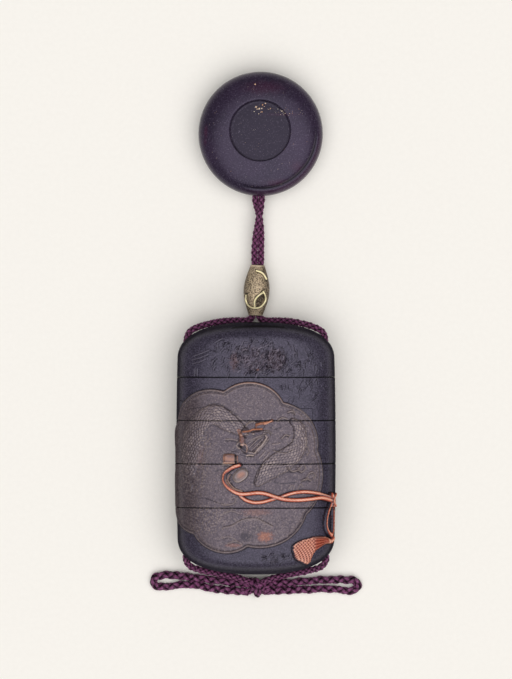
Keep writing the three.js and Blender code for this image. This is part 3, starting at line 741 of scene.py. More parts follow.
def carve_lid_foliage(relief):
    """Faint foliage and grasses in black over black on the lid and under the medallion, with painted
    highlights and shade, and a painted dark reflection under the lid's top edge.
    """
    rng = np.random.default_rng(5)
    for spray in LEAF_SPRAYS:
        leaf_spray(relief, rng, *spray)
    relief.rubbed_patches(LID_PATCHES, 0.7, 34, 1.15, 0.5)
    for line in GRASSES:
        relief.edged_stroke(line, (0.24, 0.12, 0.32), LEAF_SHIFT, (0.2, 0.07, 0.6))
    # The painted dark reflection under the lid's top edge, over a faint groove.
    relief.stroke(LID_PAINTED_DARK_REFLECTION, 0.4, -0.05, dark=0.85)
    distance, value = cell_noise(relief.s, relief.y, 0.8, 62)
    relief.height += 0.016 * smoothstep(0.5, 0.1, distance) * value


def shade_left(relief):
    """Painted shade darkens the plate towards its left side."""
    amount = smoothstep(-13, -25, relief.s) * relief.ground
    relief.light *= 1 - 0.45 * amount
    relief.paint("dark", np.arange(relief.s.size), 0.42 * amount)


def carve(s, y):
    """All the raised work, for places on the unrolled case."""
    relief = Relief(s, y)
    carve_lid_foliage(relief)
    carve_medallion(relief)
    carve_clouds(relief)
    carve_dragon(relief)
    shade_left(relief)
    carve_red_cord(relief)
    return relief


# ---- meshes --------------------------------------------------------------------------------------


def deselect():
    """Leaves nothing selected."""
    bpy.ops.object.select_all(action="DESELECT")


def make_active(piece):
    """Selects one piece alone."""
    deselect()
    piece.select_set(True)
    bpy.context.view_layer.objects.active = piece


def new_piece(name, points, faces):
    """A mesh object at the origin, from points in millimetres."""
    mesh = bpy.data.meshes.new(name)
    mesh.from_pydata((np.asarray(points) * MM).tolist(), [], faces)
    mesh.validate()
    piece = bpy.data.objects.new(name, mesh)
    bpy.context.collection.objects.link(piece)
    return piece


def loft(name, rings, start, end):
    """A closed solid through rings of points, from one end point to the other."""
    count = len(rings[0])
    points = np.concatenate([[start]] + list(rings) + [[end]])
    last = len(points) - 1
    index = np.arange(count)
    faces = [(0, 1 + int((i + 1) % count), 1 + int(i)) for i in index]
    for k in range(len(rings) - 1):
        base = 1 + k * count + index
        after = np.roll(base, -1)
        faces += np.stack([base, after, after + count, base + count], axis=1).tolist()
    base = 1 + (len(rings) - 1) * count
    faces += [(base + int(i), base + int((i + 1) % count), last) for i in index]
    piece = new_piece(name, points, faces)
    face_outward(piece)
    return piece


def face_outward(piece):
    """Turns a closed mesh whose faces point in the wrong way round."""
    shape = bmesh.new()
    shape.from_mesh(piece.data)
    if shape.calc_volume(signed=True) < 0:
        bmesh.ops.reverse_faces(shape, faces=shape.faces)
    shape.to_mesh(piece.data)
    shape.free()


def store_mask(piece, name, values):
    """Keeps one value from 0 to 1 for each point, for the piece's material to read."""
    layer = piece.data.attributes.new(name, "FLOAT", "POINT")
    layer.data.foreach_set("value", np.asarray(values, np.float32))


def points_of(piece):
    """The mesh's points, in millimetres."""
    place = np.empty(len(piece.data.vertices) * 3, np.float32)
    piece.data.vertices.foreach_get("co", place)
    return place.reshape(-1, 3).astype(float) / MM


def move_points(piece, place):
    """Moves the mesh's points to places in millimetres."""
    piece.data.vertices.foreach_set("co", (place * MM).astype(np.float32).ravel())
    piece.data.update()


def apply_modifier(piece, kind, **settings):
    """Adds a modifier with its settings and applies it."""
    make_active(piece)
    modifier = piece.modifiers.new(kind.title(), kind)
    for key, value in settings.items():
        setattr(modifier, key, value)
    bpy.ops.object.modifier_apply(modifier=modifier.name)


def smooth(piece, degrees):
    """Shades a piece smooth, apart from edges sharper than that many degrees."""
    make_active(piece)
    bpy.ops.object.shade_smooth_by_angle(angle=math.radians(degrees))
    deselect()


def finish_piece(piece, slot, materials, *nodes):
    """Gives a piece its body and materials, and hides the CAD nodes that it stands for; the slot is not
    used.
    """
    piece.data.materials.clear()
    for material in materials:
        piece.data.materials.append(material)
    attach(piece, "root")
    if nodes:
        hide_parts(*nodes)


# ---- materials -------------------------------------------------------------------------------------


def give_inputs(tree, node, inputs):
    """Gives each input a value, or joins it to another node's output."""
    for key, value in inputs.items():
        if isinstance(value, bpy.types.NodeSocket):
            tree.links.new(value, node.inputs[key])
        else:
            node.inputs[key].default_value = value


def add_node(tree, kind, inputs=None, output=0, **settings):
    """Adds a node with its settings and inputs, and gives one of its outputs."""
    node = tree.nodes.new(kind)
    for key, value in settings.items():
        setattr(node, key, value)
    give_inputs(tree, node, inputs or {})
    return node.outputs[output]


def new_material(name):
    """A material with an empty shader, and the Object coordinates for its patterns."""
    material = bpy.data.materials.new(name)
    material.use_nodes = True
    tree = material.node_tree
    tree.nodes.clear()
    shader = tree.nodes.new("ShaderNodeBsdfPrincipled")
    finish = tree.nodes.new("ShaderNodeOutputMaterial")
    tree.links.new(shader.outputs[0], finish.inputs["Surface"])
    return material, tree, shader, add_node(tree, "ShaderNodeTexCoord", output="Object")


def mottle(tree, place, size_mm, detail=3.0, rough=0.55, low=0.3, high=0.7):
    """Soft spots about size_mm across, clear where they are below low and full above high."""
    noise = {"Vector": place, "Scale": 1 / (size_mm * MM), "Detail": detail, "Roughness": rough}
    spots = add_node(tree, "ShaderNodeTexNoise", noise)
    return add_node(tree, "ShaderNodeMapRange", {"Value": spots, "From Min": low, "From Max": high})


def coat(tree, base, over, where, amount=1.0, above=0.0):
    """Lays one colour over another, up to an amount, where an output or a stored mask is above a
    level. A colour is a hex code, a setting or an output."""
    if isinstance(where, str):
        where = add_node(tree, "ShaderNodeAttribute", output="Fac", attribute_name=where)
    colours = []
    for colour in (base, over):
        if isinstance(colour, str):
            colour = linear(colour)
        colours.append(colour if isinstance(colour, bpy.types.NodeSocket) else (*colour, 1))
    # A colour mix has its two colours at inputs 6 and 7, and the blend at output 2.
    reach = {"Value": where, "From Min": above, "From Max": 1, "To Min": 0, "To Max": amount}
    inputs = {"Factor": add_node(tree, "ShaderNodeMapRange", reach), 6: colours[0], 7: colours[1]}
    return add_node(tree, "ShaderNodeMix", inputs, output=2, data_type="RGBA")


def coats(tree, base, *layers):
    """Lays several coats, each a colour and where it goes, from the first to the last."""
    for layer in layers:
        base = coat(tree, base, *layer)
    return base


def case_lacquer():
    """Black lacquer over thin wood, polished and then worn to a satin, with a slightly rough, mottled
    brown-grey lacquer on the medallion and coral-red lacquer on the cord. The eye sees soft sheen,
    fine mottling, painted highlights on the ridges, some rubbed pale by wear, and painted shade in the
    hollows."""
    material, tree, shader, place = new_material("satin_black_lacquer")
    colours = bpy.context.scene.inro_finish
    cloud = mottle(tree, place, 9.0)
    grain = mottle(tree, place, 0.7, 4, 0.65)
    noise = {"Vector": place, "Scale": 1 / (0.35 * MM), "Detail": 2.0, "Roughness": 0.6}
    fine = add_node(tree, "ShaderNodeTexNoise", noise)
    speckle = mottle(tree, place, 0.5, 2, 0.6, low=0.42)
    # The black darkens towards the sides and ends, where they turn away from above: painted shade.
    black = coats(
        tree, colours.lacquer, ("2c2835", cloud), ("5c5568", speckle, 0.6),
        ("0c0a10", grain, 0.5, 0.6), ("0b090e", "dull", 0.55),
    )
    ground = coats(
        tree, colours.medallion, ("564a4e", cloud), ("84767c", speckle, 0.6), ("221a20", grain, 0.6, 0.5),
    )
    warm = coat(tree, "8a4a2c", "c07a4e", grain)
    red = coat(tree, colours.coral, "c65c3c", grain)
    # Painted shade in the hollows, over a few dark patches of the lacquer's own, and painted highlights on
    # the ridges, some rubbed pale by wear, each in the lacquer's own hue.
    hollows = coats(tree, "08070a", ("1a1416", "ground"), ("4a150c", "red"))
    ridges = coats(tree, "6f6876", ("b3a19a", "ground"), ("f0a884", "warm"), ("f3b79d", "red"))
    # The narrow sides and the ends are made more matt than the broad faces, and painted shade darkens them.
    dull = add_node(tree, "ShaderNodeAttribute", output="Fac", attribute_name="dull")
    reach = {"Value": fine, "From Min": 0.25, "From Max": 0.75, "To Min": 0.2, "To Max": 0.34}
    satin = add_node(tree, "ShaderNodeMapRange", reach)
    uneven = add_node(tree, "ShaderNodeMath", {0: grain, 1: fine}, operation="ADD")
    bump = {"Height": uneven, "Distance": 0.035 * MM, "Strength": 0.6}
    give_inputs(tree, shader, {
        "Base Color": coats(
            tree, black, (ground, "ground"), (warm, "warm"), (red, "red"), (hollows, "dark"),
            (ridges, "light"),
        ),
        "Roughness": add_node(
            tree, "ShaderNodeMath", {0: dull, 1: 0.3, 2: satin}, operation="MULTIPLY_ADD",
        ),
        "Specular IOR Level": add_node(
            tree, "ShaderNodeMath", {0: dull, 1: -0.49, 2: 0.5}, operation="MULTIPLY_ADD",
        ),
        "Specular Tint": (*linear("e9e4ff"), 1),
        "IOR": 1.5,
        "Normal": add_node(tree, "ShaderNodeBump", bump, output="Normal"),
    })
    return material


def toggle_lacquer():
    """Aged black lacquer with a brown-purple cast, polished smooth and rubbed by handling: soft
    sheen, a faint speckle of dust in the surface, a thinner reddish band at the rim, and painted shade in
    the ring and the seam."""
    material, tree, shader, place = new_material("rubbed_purple_black_lacquer")
    cloud = mottle(tree, place, 12.0)
    grain = mottle(tree, place, 0.55, 4, 0.7, 0.35, 0.75)
    speck = mottle(tree, place, 0.42, 1, 0.4, 0.6, 0.76)
    dish = add_node(tree, "ShaderNodeAttribute", output="Fac", attribute_name="dish")
    reach = {"Value": grain, "To Min": 0.2, "To Max": 0.32}
    satin = add_node(tree, "ShaderNodeMapRange", reach)
    bump = {"Height": grain, "Distance": 0.03 * MM, "Strength": 0.6}
    give_inputs(tree, shader, {
        # The groove mask lays painted shade in the ring and the seam.
        "Base Color": coats(
            tree, bpy.context.scene.inro_finish.toggle, ("281b2f", cloud), ("463c52", grain, 0.5),
            ("0f0a16", dish, 0.8), ("4c1d36", "worn"), ("7c7284", speck, 0.35), ("0d0a10", "groove"),
        ),
        "Roughness": add_node(
            tree, "ShaderNodeMath", {0: dish, 1: 0.18, 2: satin}, operation="MULTIPLY_ADD",
        ),
        "Specular Tint": (*linear("e8deff"), 1),
        "IOR": 1.45,
        "Normal": add_node(tree, "ShaderNodeBump", bump, output="Normal"),
    })
    return material


def shell_fleck():
    """Chips of pearl shell and gold powder set in the lacquer: tiny bright glints."""
    material, tree, shader, place = new_material("shell_and_gold_fleck")
    tint = mottle(tree, place, 2.0, low=0.4, high=0.6)
    give_inputs(tree, shader, {
        "Base Color": coat(tree, "e9dccb", "d8a27a", tint), "Roughness": 0.3, "Metallic": 0.15,
    })
    return material


def red_fleck():
    """Rubbed-through spots where the reddish under-lacquer shows."""
    material, tree, shader, place = new_material("reddish_underlacquer")
    tint = mottle(tree, place, 0.5)
    give_inputs(tree, shader, {"Base Color": coat(tree, "8d5560", "b0787c", tint), "Roughness": 0.5})
    return material


def bead_metal():
    """Shibuichi, a silver and copper alloy, punched all over with a round-ended tool: brownish-grey
    metal whose pits stay dark and whose ridges are rubbed pale, with painted shade on its left and right
    sides."""
    material, tree, shader, place = new_material("punched_shibuichi")
    cloud = mottle(tree, place, 3.5, low=0.35, high=0.65)
    grain = mottle(tree, place, 0.3, 3, 0.6)
    reach = {"Value": grain, "To Min": 0.42, "To Max": 0.6}
    bump = {"Height": grain, "Distance": 0.05 * MM, "Strength": 0.6}
    give_inputs(tree, shader, {
        "Base Color": coats(
            tree, bpy.context.scene.inro_finish.bead, ("857565", cloud), ("cdb28e", grain, 0.4),
            ("2c221a", "dark"), ("e6d3b6", "light"),
        ),
        "Roughness": add_node(tree, "ShaderNodeMapRange", reach),
        "Metallic": 0.6,
        "Normal": add_node(tree, "ShaderNodeBump", bump, output="Normal"),
    })
    return material


def gold_wire():
    """Pale gold wire, inlaid proud of the bead and rubbed bright on top."""
    material, tree, shader, place = new_material("pale_gold_wire")
    wear = mottle(tree, place, 0.8, low=0.35)
    give_inputs(tree, shader, {
        "Base Color": coat(tree, bpy.context.scene.inro_finish.gold, "fff3cc", wear),
        "Roughness": 0.38,
        "Metallic": 0.6,
    })
    return material


def braided_silk():
    """Silk braid, dyed purple: each strand has a soft sheen and fine threads along it, and painted
    shade darkens the crossings."""
    material, tree, shader, place = new_material("braided_purple_silk")
    cloud = mottle(tree, place, 6.0)
    along = add_node(tree, "ShaderNodeUVMap", uv_map="UVMap")
    # Threads are drawn about 0.12 mm wide, coarser than silk, so that they show.
    stretched = add_node(tree, "ShaderNodeMapping", {"Vector": along, "Scale": (20.0, 1.2, 1.0)})
    noise = add_node(tree, "ShaderNodeTexNoise", {"Vector": stretched, "Scale": 1.0, "Detail": 2.0})
    reach = {"Value": noise, "From Min": 0.3, "From Max": 0.7}
    threads = add_node(tree, "ShaderNodeMapRange", reach)
    bump = {"Height": threads, "Distance": 0.04 * MM, "Strength": 0.7}
    give_inputs(tree, shader, {
        "Base Color": coats(
            tree, bpy.context.scene.inro_finish.silk, ("6b2257", cloud), ("bb85ad", threads, 0.68, 0.25),
            ("12020d", "under"),
        ),
        "Roughness": 0.6,
        "Specular IOR Level": 0.15,
        "Sheen Weight": 0.1,
        "Sheen Roughness": 0.4,
        "Sheen Tint": (*linear("c9a0bd"), 1),
        "Normal": add_node(tree, "ShaderNodeBump", bump, output="Normal"),
    })
    return material


def table_paper():
    """Smooth pale card with a barely visible tooth."""
    material, tree, shader, place = new_material("pale_card")
    tooth = mottle(tree, place, 1.5, 2)
    give_inputs(tree, shader, {
        "Base Color": coat(tree, "f6f3ee", "f8f5f0", tooth), "Roughness": 0.9, "Specular IOR Level": 0.1,
    })
    return material


# ---- the sections of the case ---------------------------------------------------------------------


def column_turns(step):
    """The turns of the grid's columns: fine over the front and sides, coarse over the back."""
    end = AROUND[-1]
    back = np.linspace(-end, -FRONT_REACH, int((end - FRONT_REACH) / BACK_STEP), endpoint=False)
    front = np.arange(-FRONT_REACH, FRONT_REACH, step)
    places = np.concatenate([back, front, -back[::-1]])
    places = places[places < end - 0.5 * BACK_STEP]
    return places, np.interp(places, AROUND, TURNS)


def edge_rows(low, high, step, round_low, round_high):
    """Rows from one end of a wall to the other, closer together at a rounded edge."""
    fine = np.array([0, 0.06, 0.14, 0.24])
    rows = np.arange(low + 0.36, high - 0.3, step)
    return np.concatenate([
        low + fine if round_low else [low], rows, (high - fine[::-1]) if round_high else [high],
    ])


def dome_rows(start, step):
    """Rows from start to the dome's tip, evenly spaced over the surface."""
    y = start + (DOME_TIP - start) * np.sin(np.linspace(0, math.pi / 2, 1500)) ** (2 / DOME_POWER)
    front = np.hypot(np.diff(y), np.diff(half_depth(y)))
    side = np.hypot(np.diff(y), np.diff(half_width(y)))
    over = np.concatenate([[0], np.cumsum(np.maximum(front, 0.6 * side))])
    return np.interp(np.arange(step, over[-1] - 0.4 * step, step), over, y)


def front_fade(s):
    """The raised work fades out where the fine grid ends, from 1 to 0."""
    return smoothstep(FRONT_REACH - 0.5, FRONT_REACH - 2.5, np.abs(s))


def wall_grid(rows, places, turns, low, high):
    """The outer wall's points, with the raised work and the rounded seam edges."""
    width, depth = half_width(rows)[:, None], half_depth(rows)[:, None]
    points = np.empty((len(rows), len(turns), 3))
    points[..., 0] = width * rounded(np.sin(turns))
    points[..., 1] = rows[:, None]
    points[..., 2] = AXIS_Z + depth * rounded(np.cos(turns))
    along = np.gradient(points, rows, axis=0)
    across = np.roll(points, -1, axis=1) - np.roll(points, 1, axis=1)
    normal = np.cross(across, along)
    normal /= np.maximum(np.linalg.norm(normal, axis=2, keepdims=True), 1e-9)
    outward = points - np.array([0, 0, AXIS_Z])
    outward[..., 1] *= 0.2
    normal *= np.sign(np.sum(normal * outward, axis=2, keepdims=True))
    s = np.broadcast_to(places, points.shape[:2])
    y = np.broadcast_to(rows[:, None], points.shape[:2])
    height = carve(s.ravel(), y.ravel()).height.reshape(s.shape)
    height *= front_fade(s)
    for edge in (low, high):
        if edge is not None:
            inward = np.clip(1 - np.abs(rows - edge) / EDGE_ROUND, 0, 1)[:, None]
            height = height - EDGE_DROP * (1 - np.sqrt(1 - inward ** 2))
    points += normal * height[..., None]
    points[..., 2] = np.maximum(points[..., 2], 0)
    return points


def hollow_rings(turns, near, end):
    """The domed hollow of an end section, from near the middle to its tip; end is 1 or -1."""
    start = max(near, WIDTH_DOME_START)
    tip = CAVITY_TIP - 0.05
    steps = start + (tip - start) * np.sin(np.linspace(0, math.pi / 2, 9)) ** (2 / DOME_POWER)
    return [
        section_ring(
            y * end, turns,
            CAVITY[0] * domed(y, start, CAVITY_TIP), CAVITY[1] * domed(y, start + 2, CAVITY_TIP),
        )
        for y in [near, *steps]
    ]


def section_solid(name, bottom, top, is_base, is_lid, step):
    """One closed solid: recess below, carved wall, riser and hollow above."""
    places, turns = column_turns(step)
    low = None if is_base else bottom
    high = None if is_lid else top
    if is_base:
        wall = edge_rows(-WIDTH_DOME_START, top, step, False, True)
        rows = np.concatenate([-dome_rows(WIDTH_DOME_START, step)[::-1], wall])
    elif is_lid:
        wall = edge_rows(bottom, WIDTH_DOME_START, step, True, False)
        rows = np.concatenate([wall, dome_rows(WIDTH_DOME_START, step)])
    else:
        rows = edge_rows(bottom, top, step, True, True)
    outer = list(wall_grid(rows, places, turns, low, high))
    rings = []
    if is_base:
        start = (0, -DOME_TIP, AXIS_Z)
    else:
        mouth_end = bottom + MOUTH_DEPTH
        if is_lid:
            start = (0, CAVITY_TIP, AXIS_Z)
            rings += hollow_rings(turns, mouth_end, 1)[::-1]
        else:
            start = (0, mouth_end, AXIS_Z)
        rings += [section_ring(mouth_end, turns, *MOUTH), section_ring(bottom, turns, *MOUTH)]
    rings += outer
    if is_lid:
        end = (0, DOME_TIP, AXIS_Z)
    else:
        rim = top + RISER_HEIGHT
        rings += [
            section_ring(top, turns, *RISER), section_ring(rim, turns, *RISER),
            section_ring(rim, turns, *CAVITY),
        ]
        if is_base:
            rings += hollow_rings(turns, WIDTH_DOME_START, -1)
            end = (0, -CAVITY_TIP, AXIS_Z)
        else:
            floor = bottom + MOUTH_DEPTH + FLOOR
            rings.append(section_ring(floor, turns, *CAVITY))
            end = (0, floor, AXIS_Z)
    return loft(name, rings, start, end)


def channel_cutter():
    """Two rods where the cord runs through the narrow sides."""
    rods = []
    for x in (-CHANNEL_X, CHANNEL_X):
        deselect()
        bpy.ops.mesh.primitive_cylinder_add(
            vertices=32, radius=CHANNEL_RADIUS * MM, depth=100 * MM,
            location=(x * MM, 0, AXIS_Z * MM), rotation=(math.pi / 2, 0, 0),
        )
        rods.append(bpy.context.object)
    for rod in rods:
        rod.select_set(True)
    bpy.ops.object.join()
    bpy.ops.object.transform_apply(location=True, rotation=True, scale=True)
    return bpy.context.object


def cut_with(piece, cutter):
    """Cuts a cutter's shape out of a piece."""
    apply_modifier(piece, "BOOLEAN", operation="DIFFERENCE", solver="MANIFOLD", object=cutter)


def paint_section(piece, bottom, top):
    """Stores the raised work's paint, with its painted highlights and shade, on the finished mesh's outer
    wall, with painted shade along the seams, and where the sides are made matt and darkened with painted
    shade.
    """
    count = len(piece.data.vertices)
    x, y, z = points_of(piece).T
    width, depth = np.maximum(half_width(y), 0.5), np.maximum(half_depth(y), 0.5)
    across = np.sign(x) * np.abs(x / width) ** (SECTION_POWER / 2)
    forward = np.sign(z - AXIS_Z) * np.abs((z - AXIS_Z) / depth) ** (SECTION_POWER / 2)
    s = np.interp(np.arctan2(across, forward), TURNS, AROUND)
    outer = smoothstep(0.93, 0.965, np.hypot(across, forward)) * front_fade(s)
    relief = carve(s, y)
    # Painted shade darkens the wall along each seam between the sections.
    for edge in (bottom, top):
        relief.paint("dark", np.arange(count), 0.9 * smoothstep(0.32, 0.12, np.abs(y - edge)))
    for layer in Relief.LAYERS:
        store_mask(piece, layer, getattr(relief, layer) * outer)
    # Where the wall turns away from straight up it is made matt and darkened: painted shade.
    facing = np.empty(count * 3, np.float32)
    piece.data.vertices.foreach_get("normal", facing)
    store_mask(piece, "dull", smoothstep(0.8, 0.4, facing[2::3]))


# ---- cord --------------------------------------------------------------------------------------------

CORD_DIAMETER = 2 * MM
LOOP_DIAMETER = 2.3 * MM     # the slack cord of the bow spreads a little
TAUT_STRANDS = 4             # strands each way round
SLACK_STRANDS = 3
TAUT_LOOSENESS = 0.2         # how unevenly the strands swell and sink
KNOT_LOOSENESS = 0.3
SLACK_LOOSENESS = 0.8
STRAND_SIDES = 8
BRAID_STEP = 0.42            # in millimetres along the cord
TABLE_CLEARANCE = 0.02
# The braid's other measures, each times the cord's diameter.
BRAID_TURN = 4.6             # how far along the cord a strand goes round once
STRAND_HALF_THICK = 0.16
STRAND_HALF_WIDE = 0.24
BRAID_RADIUS = 0.35
BRAID_SWING = 0.11
CORE_RADIUS = 0.28

# The route of each length, in metres, as a list of points.
LEFT_TOP = (
    (0.00195, 0.0963, 0.0044), (0.00195, 0.088, 0.0044), (0.00185, 0.0842, 0.0051),
    (0.00115, 0.0795, 0.0059), (0.00015, 0.074, 0.0053), (-0.0004, 0.069, 0.0044),
    (-0.0005, 0.063, 0.0044), (-0.00124, 0.046, 0.0044),
)
RIGHT_TOP = (
    (-0.00025, 0.0963, 0.0044), (-0.00025, 0.088, 0.0044), (-0.0001, 0.0842, 0.0037),
    (0.0011, 0.0795, 0.0029), (0.00175, 0.074, 0.0035), (0.00175, 0.069, 0.0044),
    (0.00164, 0.063, 0.0044), (0.00088, 0.046, 0.0044),
)
LEFT_ROUND_CASE = (
    (-0.0014, 0.0445, 0.0045), (-0.0033, 0.04365, 0.005), (-0.0064, 0.0436, 0.0067),
    (-0.011, 0.0434, 0.009), (-0.016, 0.0425, 0.0109), (-0.0204, 0.0411, 0.0117),
    (-0.0229, 0.0394, 0.0117), (-0.0236, 0.037, 0.0117), (-0.0236, 0.034, 0.0117),
    (-0.0236, -0.0346, 0.0117), (-0.0239, -0.0379, 0.0117), (-0.0226, -0.0402, 0.0105),
    (-0.0185, -0.0419, 0.0076), (-0.0116, -0.0434, 0.0052), (-0.006, -0.0447, 0.0039),
    (-0.00285, -0.0458, 0.0036),
)
LEFT_LOOP = (
    (-0.00285, -0.047, 0.0014), (-0.008, -0.0464, 0.0012), (-0.014, -0.0456, 0.0012),
    (-0.022, -0.0446, 0.0012), (-0.031, -0.0439, 0.0012), (-0.0342, -0.0445, 0.0012),
    (-0.0352, -0.046, 0.0012), (-0.0342, -0.0476, 0.0012), (-0.031, -0.0479, 0.0012),
    (-0.026, -0.0473, 0.0012), (-0.021, -0.0473, 0.0012), (-0.015, -0.0484, 0.0012),
    (-0.00285, -0.0496, 0.0014),
)
RIGHT_LOOP = (
    (0.00285, -0.0468, 0.0014), (0.008, -0.0466, 0.0012), (0.014, -0.0463, 0.0012),
    (0.022, -0.0456, 0.0012), (0.031, -0.0454, 0.0012), (0.0342, -0.0459, 0.0012),
    (0.0352, -0.0473, 0.0012), (0.0342, -0.0488, 0.0012), (0.031, -0.0492, 0.0012),
    (0.026, -0.0485, 0.0012), (0.014, -0.049, 0.0012), (0.00285, -0.0494, 0.0014),
)


def mirrored(points):
    """The same route on the other side of the case."""
    return tuple((-x, y, z) for x, y, z in points)


def centripetal(points, step):
    """A smooth line through points in millimetres, with places step apart."""
    stops = np.array(points, float)
    ends = np.concatenate([[2 * stops[0] - stops[1]], stops, [2 * stops[-1] - stops[-2]]])
    rows = []
    for p0, p1, p2, p3 in zip(ends[:-3], ends[1:-2], ends[2:-1], ends[3:]):
        k0, k1, k2 = (max(np.linalg.norm(b - a), 1e-6) ** 0.5 for a, b in ((p0, p1), (p1, p2), (p2, p3)))
        t0, t1, t2, t3 = 0, k0, k0 + k1, k0 + k1 + k2
        t = np.linspace(t1, t2, 60, endpoint=False)[:, None]
        a1 = (t1 - t) / (t1 - t0) * p0 + (t - t0) / (t1 - t0) * p1
        a2 = (t2 - t) / (t2 - t1) * p1 + (t - t1) / (t2 - t1) * p2
        a3 = (t3 - t) / (t3 - t2) * p2 + (t - t2) / (t3 - t2) * p3
        b1 = (t2 - t) / (t2 - t0) * a1 + (t - t0) / (t2 - t0) * a2
        b2 = (t3 - t) / (t3 - t1) * a2 + (t - t1) / (t3 - t1) * a3
        rows.append((t2 - t) / (t2 - t1) * b1 + (t - t1) / (t2 - t1) * b2)
    dense = np.concatenate(rows + [stops[-1:]])
    over = np.concatenate([[0], np.cumsum(np.linalg.norm(np.diff(dense, axis=0), axis=1))])
    places = np.linspace(0, over[-1], max(int(over[-1] / step), 4) + 1)
    return np.stack([np.interp(places, over, dense[:, i]) for i in range(3)], axis=1), over[-1]


def frames_along(line):
    """Two directions across a line at each of its points, which turn as little as they can."""
    tangent = np.gradient(line, axis=0)
    tangent /= np.linalg.norm(tangent, axis=1, keepdims=True)
    first = np.cross(tangent[0], (0, 0, 1))
    first /= np.linalg.norm(first)
    rows = [first]
    for t in tangent[1:]:
        turned = rows[-1] - t * np.dot(rows[-1], t)
        rows.append(turned / np.linalg.norm(turned))
    first = np.array(rows)
    return first, np.cross(tangent, first)


class Bundle:
    """Gathers tubes into one mesh, with a mask of painted shade and a UV map along each tube."""

    def __init__(self):
        self.points, self.faces, self.under, self.around = [], [], [], []
        self.count = 0

    def tube(self, centre, up, across, half_up, half_across, under):
        """A closed tube about a line, with an oval section."""
        sides = STRAND_SIDES
        angle = 2 * math.pi * np.arange(sides) / sides
        ring = (
            centre[:, None]
            + half_up * np.cos(angle)[None, :, None] * up[:, None]
            + half_across * np.sin(angle)[None, :, None] * across[:, None]
        )
        # Where the cord lies on the table its underside is flat.
        ring[..., 2] = np.maximum(ring[..., 2], TABLE_CLEARANCE)
        steps = len(centre)
        index = self.count + np.arange(steps * sides).reshape(steps, sides)
        a, b = index[:-1], index[1:]
        quads = np.stack([a, np.roll(a, -1, 1), np.roll(b, -1, 1), b], axis=-1).reshape(-1, 4)
        self.faces += quads.tolist()
        self.faces += [tuple(index[0][::-1].tolist()), tuple(index[-1].tolist())]
        self.points.append(ring.reshape(-1, 3))
        # Painted shade darkens a strand's sides and inner side, and where it runs under the others; its
        # outer side is left bright.
        shade = under[:, None] * 0.85 + 0.95 * smoothstep(0.98, 0.1, np.cos(angle))[None, :]
        self.under.append(np.clip(shade, 0, 1).ravel())
        u = np.broadcast_to(angle[None, :] / (2 * math.pi), (steps, sides))
        v = np.broadcast_to(np.arange(steps)[:, None] * BRAID_STEP, (steps, sides))
        self.around.append(np.stack([u, v], axis=-1).reshape(-1, 2))
        self.count += steps * sides

    def piece(self, name):
        """All the tubes as one mesh object."""
        obj = new_piece(name, np.concatenate(self.points), self.faces)
        store_mask(obj, "under", np.concatenate(self.under))
        uv = obj.data.uv_layers.new(name="UVMap")
        corners = np.empty(len(obj.data.loops), np.int32)
        obj.data.loops.foreach_get("vertex_index", corners)
        uv.data.foreach_set("uv", np.concatenate(self.around)[corners].ravel().astype(np.float32))
        obj.data.polygons.foreach_set("use_smooth", [True] * len(obj.data.polygons))
        face_outward(obj)
        return obj


def add_braid(bundle, line, diameter, strands, loose):
    """Strands over and under each other round a core, along a line in millimetres. A slack
    braid's strands look fewer and broader, and swell and sink unevenly."""
    first, second = frames_along(line)
    along = np.concatenate([[0], np.cumsum(np.linalg.norm(np.diff(line, axis=0), axis=1))])
    turn = 2 * math.pi * along / (BRAID_TURN * diameter)
    for way in (1, -1):
        lift = way * np.cos(strands * turn)
        for k in range(strands):
            uneven = loose * np.sin(0.9 * along / diameter + 2.1 * k + way)
            radius = diameter * (BRAID_RADIUS + BRAID_SWING * (lift + uneven))
            angle = 2 * math.pi * k / strands + way * turn
            up = np.cos(angle)[:, None] * first + np.sin(angle)[:, None] * second
            centre = line + radius[:, None] * up
            heading = np.gradient(centre, axis=0)
            across = np.cross(heading, up)
            across /= np.linalg.norm(across, axis=1, keepdims=True)
            thick = STRAND_HALF_THICK * diameter
            wide = STRAND_HALF_WIDE * diameter * TAUT_STRANDS / strands
            # Painted shade where the strand dips under the others.
            bundle.tube(centre, up, across, thick, wide, smoothstep(0.85, -0.6, lift))
    core = CORE_RADIUS * diameter
    # The core lies wholly in painted shade.
    bundle.tube(line, first, second, core, core, np.ones(len(line)))


def braided_cord(name, route, diameter, material, strands, loose):
    """One braided length along a route in metres, for a cord that ends in the knot."""
    points = [tuple(c / MM for c in point) for point in route]
    line, length = centripetal(points, BRAID_STEP)
    bundle = Bundle()
    add_braid(bundle, line, diameter / MM, strands, loose)
    piece = bundle.piece(f"{name}_braid")
    finish_piece(piece, "silk", [material], name)


# ---- toggle and bead -----------------------------------------------------------------------------------

MERGE = 0.01 * MM            # points closer than this are joined
TOGGLE_RADIUS = 21.3
TOGGLE_HEIGHT = 14.2
TOGGLE_EQUATOR = 6.5
TOGGLE_BASE_RADIUS = 9.0
TOGGLE_POWER = 2.4
TOGGLE_RING = 10.25
TOGGLE_SEAM = 19.1
RING_DEPTH, DISH_DEPTH, SEAM_DEPTH = 0.4, 0.3, 0.55
BEAD_STEPS_ROUND = 160
WIRE_STEP = 0.3
PUNCH_DEPTH, CHANNEL_DEPTH = 0.13, 0.14


